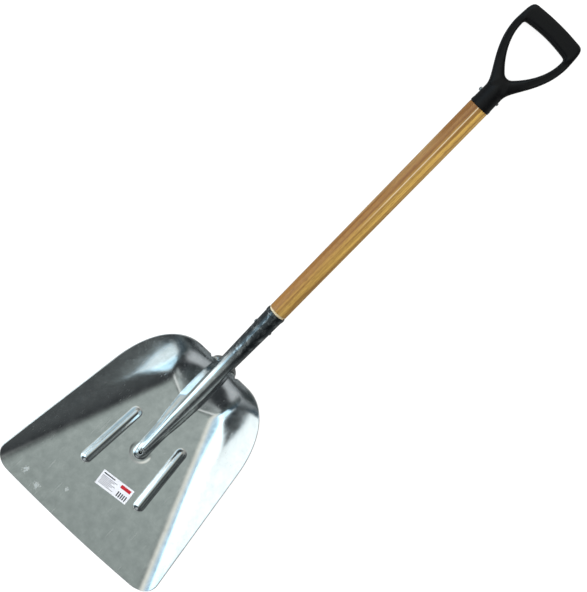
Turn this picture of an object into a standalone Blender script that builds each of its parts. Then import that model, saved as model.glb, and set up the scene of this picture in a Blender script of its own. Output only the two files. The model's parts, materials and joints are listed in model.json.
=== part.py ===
"""Snow shovel: a pressed aluminium scoop, a turned wooden shaft and a moulded D-grip, riveted together.

Every piece is set out in the scoop's own axes: x across, y from the cutting edge towards the grip, z up from the
top face of the flat floor. The assembly hangs on one empty, which lays it face up on the ground, resting on the
strap under its heel and on the end of its grip.
"""

import math

import bmesh
import bpy
from mathutils import Matrix, Vector

# Driving dimensions, in metres.
SHEET = 0.0016              # aluminium sheet
GAP = 0.0003                # clearance between pieces that touch

PAN_LENGTH = 0.428          # cutting edge to back rim, on the centre line
EDGE_CROWN = 0.0035         # how far the cutting edge's middle stands ahead of its ends
FRONT_CORNER = (0.1975, 0.042)   # the straight side ends here, above the front corner's curve
EDGE_END = 0.160            # the cutting edge ends here, beside the front corner's curve
SHOULDER = (0.1575, 0.300)   # the straight side ends here, below the shoulder's curve
RIM_FLAT = 0.058            # half length of the back rim's straight part
ROUNDING = 0.56             # handle length of a quarter curve, as a part of its side

FLOOR_HALF_BACK = 0.074     # half width of the flat floor at the heel
FLOOR_HALF_FRONT = 0.190    # half width of the flat floor at FLOOR_FRONT_Y
FLOOR_FRONT_Y = 0.030
HEEL_Y = 0.330              # the back wall's curve starts here
HEEL_RADIUS = 0.1036
WALL_SLOPE = 0.94           # side wall's rise over its run
FOLD_HALF = 0.028           # half width of the bend between floor and side wall
CREASE_Y = 0.327            # crease across the heel: where it starts, its sweep and the slope behind it
CREASE_SWEEP = 0.45
CREASE_SLOPE = math.tan(math.radians(26.5))
CREASE_BLEND = 0.004

LIFT = math.radians(20.0)   # the socket's axis rises this much from the floor
AXIS_AT_RIM = 0.072         # height of the socket's axis at the back rim
FROG_CREST = 0.0200         # the boss's crest lies this far over the axis, up to FROG_FULL_Y
FROG_FULL_Y = 0.290
FROG_RADIUS_HEEL = 0.0135   # radius of its half-round top at FROG_FULL_Y and at the tip rivet
FROG_RADIUS_TIP = 0.0095
FROG_DRAFT = 0.975          # its sides go straight down from this part of the radius
FROG_BLEND = 0.0045         # fillet between the boss and the pan

BEAD_HALF = 0.0110          # stiffening beads: half width, height and the ends of the right one
BEAD_RISE = 0.0070
BEAD_BACK = (0.059, 0.249)
BEAD_FRONT = (0.069, 0.124)

SOCKET_LENGTH = 0.148       # back rim to mouth, along the axis
SOCKET_RADIUS_RIM = 0.0165
SOCKET_RADIUS_MOUTH = 0.0191
MOUTH_BEAD = 0.0009         # the rolled bead stands out this far
MOUTH_BEAD_LENGTH = 0.009
TAB_HALF = 0.028            # half width of the tab where it leaves the back rim
EAR_LENGTH = 0.018          # the tab closes into a tube over this length
SQUARE_LENGTH = 0.060       # its rows become square to the axis over this length
SEAM_HALF_ANGLE = math.radians(1.8)

TIP_RIVET_Y = 0.1995
SEAT_HEIGHT = 0.0085        # flat seat for the rivet in the boss's tip
SEAT_RADIUS = 0.0075        # it is flat up to here and blends into the boss over SEAT_BLEND
SEAT_BLEND = 0.0030
TIP_HOLE_RADIUS = 0.0043
TIP_TAIL_RADIUS = 0.0056
TIP_BORE_RADIUS = 0.0032

STRAP_HALF = 0.029
STRAP_FRONT_Y = 0.184
STRAP_ARC = math.radians(54.0)

SHAFT_VISIBLE = 0.514       # socket mouth to grip
SHAFT_CLEARANCE = 0.0007    # shaft to socket, all round
SHAFT_RADIUS_MOUTH = 0.0185
SHAFT_RADIUS_GRIP = 0.01915
SHAFT_TOE = -0.105          # the tapered lower end reaches this far past the back rim
SHAFT_TOE_RADIUS = 0.0085
SPIGOT_RADIUS = 0.0158
SPIGOT_LENGTH = 0.046

GRIP_LENGTH = 0.188         # rim of the grip's socket to the outside of its bar
GRIP_HALF_WIDTH = 0.0604
GRIP_BORE_DEPTH = 0.048
GRIP_HOLE_FOOT = 0.0662     # the hand hole runs from here to GRIP_HOLE_HEAD
GRIP_HOLE_HEAD = 0.1562
GRIP_HOLE_HALF = 0.0467
BAR_HALF_DEPTH = 0.0150
ARM_HALF_DEPTH = 0.0125

CROSS_HOLE_RADIUS = 0.0025
CROSS_SHANK_RADIUS = 0.0022
SOCKET_RIVET_BELOW_MOUTH = 0.039
GRIP_RIVET_ABOVE_RIM = 0.0245

LABEL_SIZE = (0.072, 0.031, 0.0003)
LABEL_PLACE = (0.010, 0.118)
LABEL_TURN = math.radians(6.0)

# How finely the curved sheet is divided.
BOSS_STEPS = 5              # columns from the centre line to the boss's side
EAR_STEPS = 4               # columns from there to the edge of the tab
OUTER_STEPS = 15            # columns from the tab to the side of the pan
ROW_BANDS = ((0.0, 0.10, 6), (0.10, 0.19, 7), (0.19, 0.212, 4), (0.212, PAN_LENGTH, 26))
TURN_STEPS = 32


def clear_scene():
    """Remove whatever objects the file starts with."""
    for thing in list(bpy.data.objects):
        bpy.data.objects.remove(thing, do_unlink=True)


def finish_material(name, colour, roughness, metallic=0.0):
    """Make a Principled material."""
    material = bpy.data.materials.new(name)
    material.use_nodes = True
    shader = material.node_tree.nodes["Principled BSDF"]
    shader.inputs["Base Color"].default_value = (*colour, 1.0)
    shader.inputs["Roughness"].default_value = roughness
    shader.inputs["Metallic"].default_value = metallic
    return material


def make_object(name, bm, parent, material=None):
    """Turn a bmesh into a named, smooth-shaded object under the given parent."""
    bmesh.ops.recalc_face_normals(bm, faces=bm.faces)
    mesh = bpy.data.meshes.new(name)
    bm.to_mesh(mesh)
    bm.free()
    mesh.shade_smooth()
    mesh.set_sharp_from_angle(angle=math.radians(35.0))
    thing = bpy.data.objects.new(name, mesh)
    bpy.context.scene.collection.objects.link(thing)
    thing.parent = parent
    if material is not None:
        mesh.materials.append(material)
    return thing


def make_cutter(name, bm, parent):
    """Make a helper object that only Boolean modifiers read."""
    cutter = make_object(name, bm, parent)
    cutter.hide_render = True
    cutter.display_type = "WIRE"
    return cutter


def add_boolean(thing, operand, operation="DIFFERENCE"):
    """Cut or join one object with another."""
    modifier = thing.modifiers.new(operand.name, "BOOLEAN")
    modifier.object = operand
    modifier.operation = operation
    modifier.solver = "EXACT"


def turned(profile, steps=TURN_STEPS):
    """Turn a profile of (radius, height) points, from axis to axis, round z."""
    bm = bmesh.new()
    verts = [bm.verts.new((radius, 0.0, height)) for radius, height in profile]
    edges = [bm.edges.new(pair) for pair in zip(verts, verts[1:])]
    bmesh.ops.spin(bm, geom=verts + edges, cent=(0, 0, 0), axis=(0, 0, 1),
                   angle=math.tau, steps=steps, use_merge=True)
    bmesh.ops.remove_doubles(bm, verts=bm.verts, dist=0.000001)
    return bm


def sleeve(rings, closed=False):
    """Join rings of points with quads, and cap the two ends unless the sleeve closes on itself."""
    bm = bmesh.new()
    loops = [[bm.verts.new(point) for point in ring] for ring in rings]
    size = len(loops[0])
    pairs = list(zip(loops, loops[1:]))
    if closed:
        pairs.append((loops[-1], loops[0]))
    for near, far in pairs:
        for k in range(size):
            following = (k + 1) % size
            bm.faces.new((near[k], near[following], far[following], far[k]))
    if not closed:
        bm.faces.new(reversed(loops[0]))
        bm.faces.new(loops[-1])
    return bm


def bezier(start, handle_a, handle_b, end, count):
    """Points along a cubic curve, both ends included."""
    points = []
    for k in range(count + 1):
        t = k / count
        weights = ((1 - t) ** 3, 3 * t * (1 - t) ** 2, 3 * t * t * (1 - t), t ** 3)
        controls = (start, handle_a, handle_b, end)
        points.append(tuple(sum(w * c[axis] for w, c in zip(weights, controls)) for axis in (0, 1)))
    return points


def resample(points, fractions):
    """Points at the given fractions of a polyline's length."""
    lengths = [0.0]
    for a, b in zip(points, points[1:]):
        lengths.append(lengths[-1] + math.dist(a, b))
    result = []
    for fraction in fractions:
        target = fraction * lengths[-1]
        k = 0
        while k < len(points) - 2 and lengths[k + 1] < target:
            k += 1
        t = (target - lengths[k]) / (lengths[k + 1] - lengths[k])
        result.append(tuple(p + t * (q - p) for p, q in zip(points[k], points[k + 1])))
    return result


def edge_y(x):
    """The cutting edge is a shallow curve."""
    return EDGE_CROWN * (x / EDGE_END) ** 2


def row_fractions():
    """Where the pan's rows lie, from the cutting edge to the back rim."""
    stations = [0.0]
    for start, stop, count in ROW_BANDS:
        stations += [start + (stop - start) * (k + 1) / count for k in range(count)]
    return [station / PAN_LENGTH for station in stations]


def strip_columns():
    """x of the columns in the middle strip, and the angle round the socket that each one turns into."""
    columns = []
    for k in range(BOSS_STEPS + 1):
        angle = math.pi / 2 * k / BOSS_STEPS
        columns.append((SOCKET_RADIUS_RIM * math.sin(angle), angle))
    for k in range(1, EAR_STEPS + 1):
        part = k / EAR_STEPS
        x = SOCKET_RADIUS_RIM + (TAB_HALF - SOCKET_RADIUS_RIM) * part
        angle = math.pi / 2 + (math.pi / 2 - SEAM_HALF_ANGLE) * part
        columns.append((x, angle))
    return columns


def corner_curves():
    """The front corner's and the shoulder's curves, each as a polyline going away from the cutting edge."""
    side_x, side_y = FRONT_CORNER
    top_x, top_y = SHOULDER
    slope = (top_x - side_x) / (top_y - side_y)
    front_handle = ROUNDING * (side_y - edge_y(EDGE_END))
    edge_slope = 2 * EDGE_CROWN / EDGE_END
    edge_handle = ROUNDING * (side_x - EDGE_END) * 1.25
    front = bezier((EDGE_END, edge_y(EDGE_END)),
                   (EDGE_END + edge_handle, edge_y(EDGE_END) + edge_slope * edge_handle),
                   (side_x - slope * front_handle, side_y - front_handle), FRONT_CORNER, 16)
    side_handle = ROUNDING * (PAN_LENGTH - top_y)
    rim_handle = ROUNDING * (top_x - RIM_FLAT)
    back = bezier(SHOULDER, (top_x + slope * side_handle, top_y + side_handle),
                  (RIM_FLAT + rim_handle, PAN_LENGTH), (RIM_FLAT, PAN_LENGTH), 24)
    return front, back


def pan_plan():
    """Plan positions of the right half's columns and rows, keyed by (column, row)."""
    rows = row_fractions()
    plan = {}
    columns = strip_columns()
    for i, (x, _) in enumerate(columns):
        for j, v in enumerate(rows):
            plan[i, j] = (x, edge_y(x) + v * (PAN_LENGTH - edge_y(x)))
    front, back = corner_curves()
    half_front = len(front) // 2
    half_back = len(back) // 2
    edge_line = [(TAB_HALF + (EDGE_END - TAB_HALF) * k / 12, 0.0) for k in range(12)]
    edge_line = [(x, edge_y(x)) for x, _ in edge_line] + front[:half_front + 1]
    rim_line = [(TAB_HALF, PAN_LENGTH)] + back[half_back:][::-1]
    outer_line = front[half_front:] + back[:half_back + 1]
    steps = [k / OUTER_STEPS for k in range(OUTER_STEPS + 1)]
    edge_points = resample(edge_line, steps)
    rim_points = resample(rim_line, steps)
    outer_points = resample(outer_line, rows)
    last = len(columns) - 1
    corners = (edge_points[0], edge_points[-1], rim_points[0], rim_points[-1])
    for k, u in enumerate(steps[1:], start=1):
        for j, v in enumerate(rows):
            inner = plan[last, j]
            point = []
            for axis in (0, 1):
                across = (1 - u) * inner[axis] + u * outer_points[j][axis]
                along = (1 - v) * edge_points[k][axis] + v * rim_points[k][axis]
                twice = ((1 - u) * (1 - v) * corners[0][axis] + u * (1 - v) * corners[1][axis]
                         + (1 - u) * v * corners[2][axis] + u * v * corners[3][axis])
                point.append(across + along - twice)
            plan[last + k, j] = tuple(point)
    return plan


def fold(distance, half, slope):
    """Height past a bend: flat before it, a straight slope after it."""
    if distance <= -half:
        return 0.0
    if distance >= half:
        return slope * distance
    return slope * (distance + half) ** 2 / (4 * half)


def bare_pan(x, y):
    """Top face of the pan without its boss and beads."""
    taper = (FLOOR_HALF_FRONT - FLOOR_HALF_BACK) / (FLOOR_FRONT_Y - HEEL_Y)
    floor_half = FLOOR_HALF_BACK + taper * (y - HEEL_Y)
    side = fold(abs(x) - floor_half, FOLD_HALF, WALL_SLOPE)
    run = min(max(y - HEEL_Y, 0.0), HEEL_RADIUS)
    back = HEEL_RADIUS - math.sqrt(HEEL_RADIUS ** 2 - run ** 2)
    sweep = CREASE_SWEEP * max(abs(x) - FROG_RADIUS_HEEL, 0.0)
    ramp = CREASE_SLOPE * (y - CREASE_Y - sweep)
    overlap = max(CREASE_BLEND - abs(back - ramp), 0.0)
    return math.hypot(side, max(back, ramp) + overlap ** 2 / (4 * CREASE_BLEND))


def bead_height(x, y):
    """Rise of the stiffening beads."""
    (x0, y0), (x1, y1) = BEAD_BACK, BEAD_FRONT
    length_squared = (x1 - x0) ** 2 + (y1 - y0) ** 2
    t = ((abs(x) - x0) * (x1 - x0) + (y - y0) * (y1 - y0)) / length_squared
    t = min(max(t, 0.0), 1.0)
    distance = math.dist((abs(x), y), (x0 + t * (x1 - x0), y0 + t * (y1 - y0)))
    if distance >= BEAD_HALF:
        return 0.0
    return BEAD_RISE * (1 - (distance / BEAD_HALF) ** 2) ** 1.5


def smooth_step(value):
    """Rise smoothly from 0 to 1 while value goes from 0 to 1."""
    part = min(max(value, 0.0), 1.0)
    return part * part * (3 - 2 * part)


def boss_height(x, y):
    """Top face of the boss, well below the floor where there is none. Its tip is round about the rivet."""
    x = math.hypot(x, max(TIP_RIVET_Y - y, 0.0))
    y = max(y, TIP_RIVET_Y)
    ease = smooth_step((y - FROG_FULL_Y) / (PAN_LENGTH - FROG_FULL_Y))
    crest = FROG_CREST + (SOCKET_RADIUS_RIM - FROG_CREST) * ease
    crest = AXIS_AT_RIM + (y - PAN_LENGTH) * math.tan(LIFT) + crest / math.cos(LIFT)
    part = min((y - TIP_RIVET_Y) / (FROG_FULL_Y - TIP_RIVET_Y), 1.0)
    radius = FROG_RADIUS_TIP + (FROG_RADIUS_HEEL - FROG_RADIUS_TIP) * part
    radius += (SOCKET_RADIUS_RIM - FROG_RADIUS_HEEL) * ease
    steep = FROG_DRAFT * radius
    reach = min(x, steep)
    drop = (radius - math.sqrt(radius ** 2 - reach ** 2)) / math.cos(LIFT)
    side_slope = steep / math.sqrt(radius ** 2 - steep ** 2)
    shape = crest - drop - side_slope * (x - reach)
    if shape <= 0.0:
        return shape
    from_rivet = math.hypot(x, y - TIP_RIVET_Y)
    on_seat = smooth_step((SEAT_RADIUS + SEAT_BLEND - from_rivet) / SEAT_BLEND)
    return shape + (SEAT_HEIGHT - shape) * on_seat


def pan_height(x, y):
    """Top face of the whole pan."""
    base = bare_pan(x, y) + bead_height(x, y)
    boss = boss_height(x, y)
    overlap = max(FROG_BLEND - abs(base - boss), 0.0)
    return max(base, boss) + overlap ** 2 / (4 * FROG_BLEND)


def axis_point(distance):
    """A point on the shaft's axis, that far from the back rim towards the grip."""
    return Vector((0.0, PAN_LENGTH + distance * math.cos(LIFT), AXIS_AT_RIM + distance * math.sin(LIFT)))


def socket_radius(distance):
    """Outside radius of the socket, with its bead at the mouth."""
    taper = SOCKET_RADIUS_MOUTH - SOCKET_RADIUS_RIM
    radius = SOCKET_RADIUS_RIM + taper * min(distance / SOCKET_LENGTH, 1.0)
    into_bead = (distance - (SOCKET_LENGTH - MOUTH_BEAD_LENGTH)) / MOUTH_BEAD_LENGTH
    if 0.0 < into_bead <= 1.0:
        radius += MOUTH_BEAD * math.sin(math.pi * min(into_bead, 0.8)) ** 0.5
    return radius


def socket_stations():
    """Distances of the socket's rows from the back rim."""
    closing = [EAR_LENGTH * (k + 1) / 5 for k in range(5)]
    plain_end = SOCKET_LENGTH - MOUTH_BEAD_LENGTH
    plain = [EAR_LENGTH + (plain_end - EAR_LENGTH) * (k + 1) / 5 for k in range(5)]
    bead = [plain_end + MOUTH_BEAD_LENGTH * (k + 1) / 4 for k in range(4)]
    return closing + plain + bead


def socket_point(root, angle, distance):
    """A point of the socket's row at that distance, which grows out of a point of the back rim round the axis."""
    axis = Vector((0.0, math.cos(LIFT), math.sin(LIFT)))
    normal = Vector((0.0, -math.sin(LIFT), math.cos(LIFT)))
    offset = root - axis_point(0.0)
    ease = smooth_step(distance / EAR_LENGTH)
    root_radius = math.hypot(offset.x, offset.dot(normal))
    radius = root_radius + (socket_radius(distance) - root_radius) * ease
    root_angle = math.atan2(abs(offset.x), offset.dot(normal))
    turn = root_angle + (angle - root_angle) * ease
    along = distance + offset.dot(axis) * max(1 - distance / SQUARE_LENGTH, 0.0)
    point = axis_point(along) + radius * math.cos(turn) * normal
    point.x = math.copysign(radius * math.sin(turn), offset.x)
    return point


def build_blade(parent, material):
    """Pan, boss and rolled socket, pressed from one sheet."""
    bm = bmesh.new()
    plan = pan_plan()
    rows = len(row_fractions())
    columns = strip_columns()
    strip = len(columns) - 1
    last_column = strip + OUTER_STEPS
    grid = {}
    for (i, j), (x, y) in plan.items():
        for side in ((1, -1) if i else (1,)):
            grid[side * i, j] = bm.verts.new((side * x, y, pan_height(x, y)))
    for k, distance in enumerate(socket_stations()):
        for i in range(-strip, strip + 1):
            root = grid[i, rows - 1].co
            grid[i, rows + k] = bm.verts.new(socket_point(root, columns[abs(i)][1], distance))
    for i, j in list(grid):
        corners = [(i, j), (i + 1, j), (i + 1, j + 1), (i, j + 1)]
        if i < last_column and all(corner in grid for corner in corners):
            bm.faces.new([grid[corner] for corner in corners])
    blade = make_object("blade", bm, parent, material)
    sheet = blade.modifiers.new("sheet", "SOLIDIFY")
    sheet.thickness = SHEET
    sheet.offset = -1.0
    sheet.use_even_offset = True
    return blade


def build_back_strap(parent, material):
    """Strap that follows the underside of the pan and closes the hollow boss."""
    centre = Vector((0.0, HEEL_Y, HEEL_RADIUS))
    rings = []
    inner = HEEL_RADIUS + SHEET + GAP
    angles = [STRAP_ARC * k / 12 for k in range(13)]
    sections = [(STRAP_FRONT_Y, -SHEET - GAP, -2 * SHEET - GAP, 0.0)]
    for angle in angles:
        near = centre + inner * Vector((0.0, math.sin(angle), -math.cos(angle)))
        far = centre + (inner + SHEET) * Vector((0.0, math.sin(angle), -math.cos(angle)))
        sections.append((near.y, near.z, far.z, far.y - near.y))
    for y, top, bottom, shift in sections:
        rings.append([(-STRAP_HALF, y, top), (STRAP_HALF, y, top),
                      (STRAP_HALF, y + shift, bottom), (-STRAP_HALF, y + shift, bottom)])
    return make_object("back_strap", sleeve(rings), parent, material)


def build_tip_rivet(parent, material):
    """Tubular rivet: a domed head under the strap and a rolled, hollow tail on the boss's seat."""
    head_top = -2 * SHEET - 2 * GAP
    tail = SEAT_HEIGHT + GAP
    shank = TIP_HOLE_RADIUS - GAP
    profile = [
        (0.0, tail - 0.006), (TIP_BORE_RADIUS, tail - 0.006), (TIP_BORE_RADIUS, tail + 0.0008),
        (TIP_BORE_RADIUS + 0.0007, tail + 0.0015), (TIP_TAIL_RADIUS - 0.0006, tail + 0.0012),
        (TIP_TAIL_RADIUS, tail + 0.0005), (TIP_TAIL_RADIUS - 0.0002, tail), (shank, tail),
        (shank, head_top), (0.0072, head_top), (0.0066, head_top - 0.0011), (0.0040, head_top - 0.0021),
        (0.0, head_top - 0.0025),
    ]
    rivet = make_object("tip_rivet", turned(profile, 24), parent, material)
    rivet.location = (0.0, TIP_RIVET_Y, 0.0)
    return rivet


def build_cross_rivet(name, parent, material, distance, half_span, head_rise, tail_rise):
    """Rivet across the shaft: a domed head on the left and a clenched tail on the right."""
    left = -half_span - GAP
    right = half_span + GAP
    profile = [(0.0, right + tail_rise), (0.0020, right + tail_rise * 0.7), (0.0031, right),
               (CROSS_SHANK_RADIUS, right), (CROSS_SHANK_RADIUS, left), (0.0040, left),
               (0.0038, left - head_rise * 0.45), (0.0024, left - head_rise * 0.85), (0.0, left - head_rise)]
    rivet = make_object(name, turned(profile, 20), parent, material)
    rivet.location = axis_point(distance)
    rivet.rotation_euler = (0.0, math.pi / 2, 0.0)
    return rivet


def cross_cutter(name, parent, distance):
    """Cutter for a rivet's hole across the shaft."""
    half = 0.030
    profile = [(0.0, half), (CROSS_HOLE_RADIUS, half), (CROSS_HOLE_RADIUS, -half), (0.0, -half)]
    cutter = make_cutter(name, turned(profile, 20), parent)
    cutter.location = axis_point(distance)
    cutter.rotation_euler = (0.0, math.pi / 2, 0.0)
    return cutter


def build_shaft(parent, material):
    """Turned shaft, with a tapered toe inside the socket and a spigot inside the grip."""
    grip_rim = SOCKET_LENGTH + SHAFT_VISIBLE
    inside = SHEET + SHAFT_CLEARANCE
    mouth = SOCKET_LENGTH
    profile = [
        (0.0, grip_rim + SPIGOT_LENGTH), (SPIGOT_RADIUS - 0.002, grip_rim + SPIGOT_LENGTH),
        (SPIGOT_RADIUS, grip_rim + SPIGOT_LENGTH - 0.003), (SPIGOT_RADIUS, grip_rim - GAP),
        (SHAFT_RADIUS_GRIP, grip_rim - GAP),
        (SHAFT_RADIUS_GRIP, grip_rim - 0.12),
        ((SHAFT_RADIUS_GRIP + SHAFT_RADIUS_MOUTH) / 2, (grip_rim + mouth) / 2),
        (SHAFT_RADIUS_MOUTH, mouth + 0.0030),
        (SOCKET_RADIUS_MOUTH - inside, mouth + 0.0005),
        (SOCKET_RADIUS_MOUTH - inside, mouth),
        (SOCKET_RADIUS_RIM - inside, 0.0),
        (SHAFT_TOE_RADIUS, SHAFT_TOE + 0.003), (SHAFT_TOE_RADIUS - 0.003, SHAFT_TOE), (0.0, SHAFT_TOE),
    ]
    shaft = make_object("shaft", turned(profile), parent, material)
    shaft.location = axis_point(0.0)
    shaft.rotation_euler = (LIFT - math.pi / 2, 0.0, 0.0)
    return shaft


def grip_outlines():
    """Outer and inner outline of the grip's right half, from the neck over the bar, as matched points."""
    neck = 0.0188
    shoulder_y = 0.146
    outer = [(0.0, 0.030), (0.010, 0.032)]
    outer += bezier((neck, 0.036), (neck, 0.056), (GRIP_HALF_WIDTH, 0.091), (GRIP_HALF_WIDTH, shoulder_y), 12)
    outer += bezier((GRIP_HALF_WIDTH - 0.0008, 0.164), (0.0585, 0.182), (0.0560, 0.1845), (0.0440, 0.1858), 5)
    outer += [(0.022, 0.1874), (0.0, GRIP_LENGTH)]
    hole = GRIP_HOLE_HALF
    inner = [(0.0, GRIP_HOLE_FOOT), (0.002, GRIP_HOLE_FOOT + 0.0003)]
    inner += bezier((0.004, 0.0668), (0.014, 0.078), (hole, 0.108), (hole, 0.1455), 12)
    inner += bezier((hole, 0.1485), (0.0465, 0.1515), (0.0440, 0.1525), (0.0370, 0.1535), 5)
    inner += [(0.019, 0.1556), (0.0, GRIP_HOLE_HEAD)]
    return outer, inner


def build_grip_loop(parent):
    """The grip's two arms and bar as one ring of rounded sections."""
    outer, inner = grip_outlines()
    count = len(outer)
    stations = [(1, k) for k in range(count)] + [(-1, k) for k in range(count - 2, 0, -1)]
    rings = []
    for side, k in stations:
        (ox, oy), (ix, iy) = outer[k], inner[k]
        part = min(max((oy - 0.120) / 0.045, 0.0), 1.0)
        depth = ARM_HALF_DEPTH + (BAR_HALF_DEPTH - ARM_HALF_DEPTH) * part
        depth += 0.004 * max(1 - k / 5, 0.0)
        ring = []
        for step in range(12):
            angle = math.tau * (step + 0.5) / 12
            across = math.copysign(abs(math.cos(angle)) ** 0.6, math.cos(angle))
            up = math.copysign(abs(math.sin(angle)) ** 0.6, math.sin(angle))
            mix = (1 + across) / 2
            ring.append((side * (ix + (ox - ix) * mix), iy + (oy - iy) * mix, depth * up))
        rings.append(ring)
    return make_cutter("grip_loop", sleeve(rings, closed=True), parent)


def build_d_grip(parent, material):
    """Neck with its bore, joined to the loop for the hand."""
    frame = bpy.data.objects.new("grip_frame", None)
    bpy.context.scene.collection.objects.link(frame)
    frame.parent = parent
    frame.location = axis_point(SOCKET_LENGTH + SHAFT_VISIBLE)
    frame.rotation_euler = (LIFT, 0.0, 0.0)
    along_y = (-math.pi / 2, 0.0, 0.0)
    profile = [(0.0, 0.0690), (0.0075, 0.0665), (0.0130, 0.0600), (0.0165, 0.0500), (0.0188, 0.0380),
               (0.0190, 0.0200), (0.0193, 0.0080), (0.0199, 0.0060), (0.0199, 0.0015), (0.0194, 0.0),
               (0.0, 0.0)]
    grip = make_object("d_grip", turned(profile), frame, material)
    grip.rotation_euler = along_y
    add_boolean(grip, build_grip_loop(frame), "UNION")
    bore_radius = SPIGOT_RADIUS + GAP
    bore = make_cutter("grip_bore", turned([(0.0, GRIP_BORE_DEPTH), (bore_radius, GRIP_BORE_DEPTH),
                                            (bore_radius, -0.005), (0.0, -0.005)]), frame)
    bore.rotation_euler = along_y
    add_boolean(grip, bore)
    return grip


def build_label(parent, material):
    """Paper label, stuck on the floor between the boss and the cutting edge."""
    bm = bmesh.new()
    bmesh.ops.create_cube(bm, size=1.0)
    bmesh.ops.scale(bm, vec=LABEL_SIZE, verts=bm.verts)
    label = make_object("label", bm, parent, material)
    label.location = (*LABEL_PLACE, GAP + LABEL_SIZE[2] / 2)
    label.rotation_euler = (0.0, 0.0, LABEL_TURN)
    return label


def lay_on_ground(frame):
    """Tip the assembly so that the strap's curve and the grip's bar both touch z = 0, and centre it on y."""
    bar_middle = axis_point(SOCKET_LENGTH + SHAFT_VISIBLE + (GRIP_HOLE_HEAD + GRIP_LENGTH) / 2)
    heel_middle = Vector((0.0, HEEL_Y, HEEL_RADIUS))
    heel_reach = HEEL_RADIUS + 2 * SHEET + GAP
    span = bar_middle - heel_middle
    tilt = math.atan2(span.z, span.y) + math.asin((heel_reach - BAR_HALF_DEPTH) / span.length)
    turn = Matrix.Rotation(-tilt, 3, "X")
    back = (turn @ axis_point(SOCKET_LENGTH + SHAFT_VISIBLE + GRIP_LENGTH)).y
    front = (turn @ Vector((0.0, 0.0, -SHEET))).y
    frame.rotation_euler = (-tilt, 0.0, 0.0)
    frame.location = (0.0, -(front + back) / 2, heel_reach - (turn @ heel_middle).z)


def build_shovel():
    """Build every piece and lay the shovel down."""
    clear_scene()
    aluminium = finish_material("pressed_aluminium", (0.56, 0.57, 0.58), 0.28, 1.0)
    steel = finish_material("rivet_steel", (0.50, 0.50, 0.50), 0.35, 1.0)
    wood = finish_material("varnished_wood", (0.47, 0.27, 0.11), 0.45)
    plastic = finish_material("black_plastic", (0.015, 0.015, 0.016), 0.40)
    paper = finish_material("label_paper", (0.85, 0.84, 0.86), 0.60)

    frame = bpy.data.objects.new("shovel_frame", None)
    bpy.context.scene.collection.objects.link(frame)

    blade = build_blade(frame, aluminium)
    strap = build_back_strap(frame, aluminium)
    shaft = build_shaft(frame, wood)
    grip = build_d_grip(frame, plastic)
    build_tip_rivet(frame, steel)
    build_label(frame, paper)

    tip_hole = make_cutter("tip_hole", turned([(0.0, 0.03), (TIP_HOLE_RADIUS, 0.03),
                                               (TIP_HOLE_RADIUS, -0.03), (0.0, -0.03)], 24), frame)
    tip_hole.location = (0.0, TIP_RIVET_Y, 0.0)
    add_boolean(blade, tip_hole)
    add_boolean(strap, tip_hole)

    socket_distance = SOCKET_LENGTH - SOCKET_RIVET_BELOW_MOUTH
    socket_hole = cross_cutter("socket_hole", frame, socket_distance)
    add_boolean(blade, socket_hole)
    add_boolean(shaft, socket_hole)
    build_cross_rivet("socket_rivet", frame, steel, socket_distance, socket_radius(socket_distance),
                      head_rise=0.0018, tail_rise=0.0014)

    grip_distance = SOCKET_LENGTH + SHAFT_VISIBLE + GRIP_RIVET_ABOVE_RIM
    grip_hole = cross_cutter("grip_hole", frame, grip_distance)
    add_boolean(shaft, grip_hole)
    add_boolean(grip, grip_hole)
    build_cross_rivet("grip_rivet", frame, steel, grip_distance, 0.0191, head_rise=0.0034, tail_rise=0.0016)

    lay_on_ground(frame)


build_shovel()
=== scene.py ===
"""A snow shovel in a plain studio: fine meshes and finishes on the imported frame.

The shovel is set out in the scoop's own axes: x across, y from the cutting edge towards the grip, z up from
the top face of the flat floor. Placement turns those axes into the frame's.
"""

import json
import logging
import math
from dataclasses import dataclass
from enum import Enum
from typing import Iterable, Sequence

import bmesh
import bpy
from mathutils import Matrix, Vector


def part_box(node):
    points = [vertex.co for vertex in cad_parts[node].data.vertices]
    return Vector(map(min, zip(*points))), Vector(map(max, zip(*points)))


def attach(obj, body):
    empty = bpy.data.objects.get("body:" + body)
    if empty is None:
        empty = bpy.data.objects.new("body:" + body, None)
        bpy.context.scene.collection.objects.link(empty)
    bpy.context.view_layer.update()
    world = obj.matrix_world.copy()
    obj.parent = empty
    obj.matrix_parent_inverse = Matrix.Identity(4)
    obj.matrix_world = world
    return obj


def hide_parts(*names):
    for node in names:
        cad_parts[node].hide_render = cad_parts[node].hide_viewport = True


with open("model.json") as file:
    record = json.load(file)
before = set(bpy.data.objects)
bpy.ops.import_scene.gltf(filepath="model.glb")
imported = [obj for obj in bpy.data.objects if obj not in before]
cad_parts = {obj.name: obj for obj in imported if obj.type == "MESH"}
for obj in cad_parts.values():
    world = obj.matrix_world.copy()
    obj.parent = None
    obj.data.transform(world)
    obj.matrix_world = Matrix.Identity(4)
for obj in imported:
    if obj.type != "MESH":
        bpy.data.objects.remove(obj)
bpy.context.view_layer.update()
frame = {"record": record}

log = logging.getLogger("shovel")

MM = 0.001
OWN_AXES = "own_axes"               # mesh attribute with the position in the axes a piece was made in
Point2 = tuple[float, float]
Point3 = tuple[float, float, float]


class Slot(Enum):
    """The record's material slots."""

    ALUMINIUM = "pressed_aluminium"
    STEEL = "rivet_steel"
    WOOD = "varnished_wood"
    PLASTIC = "black_plastic"
    PAPER = "label_paper"


# -------------------------------------------------------------------------------- node helpers


def linear(hex_colour: str) -> tuple[float, float, float, float]:
    """Turn an sRGB hex colour into linear values.

    Args:
        hex_colour: Six hex digits after a hash.

    Returns:
        Linear red, green, blue, and an alpha of 1.
    """
    values = []
    for start in (1, 3, 5):
        part = int(hex_colour[start:start + 2], 16) / 255
        values.append(part / 12.92 if part <= 0.04045 else ((part + 0.055) / 1.055) ** 2.4)
    return (values[0], values[1], values[2], 1.0)


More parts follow.
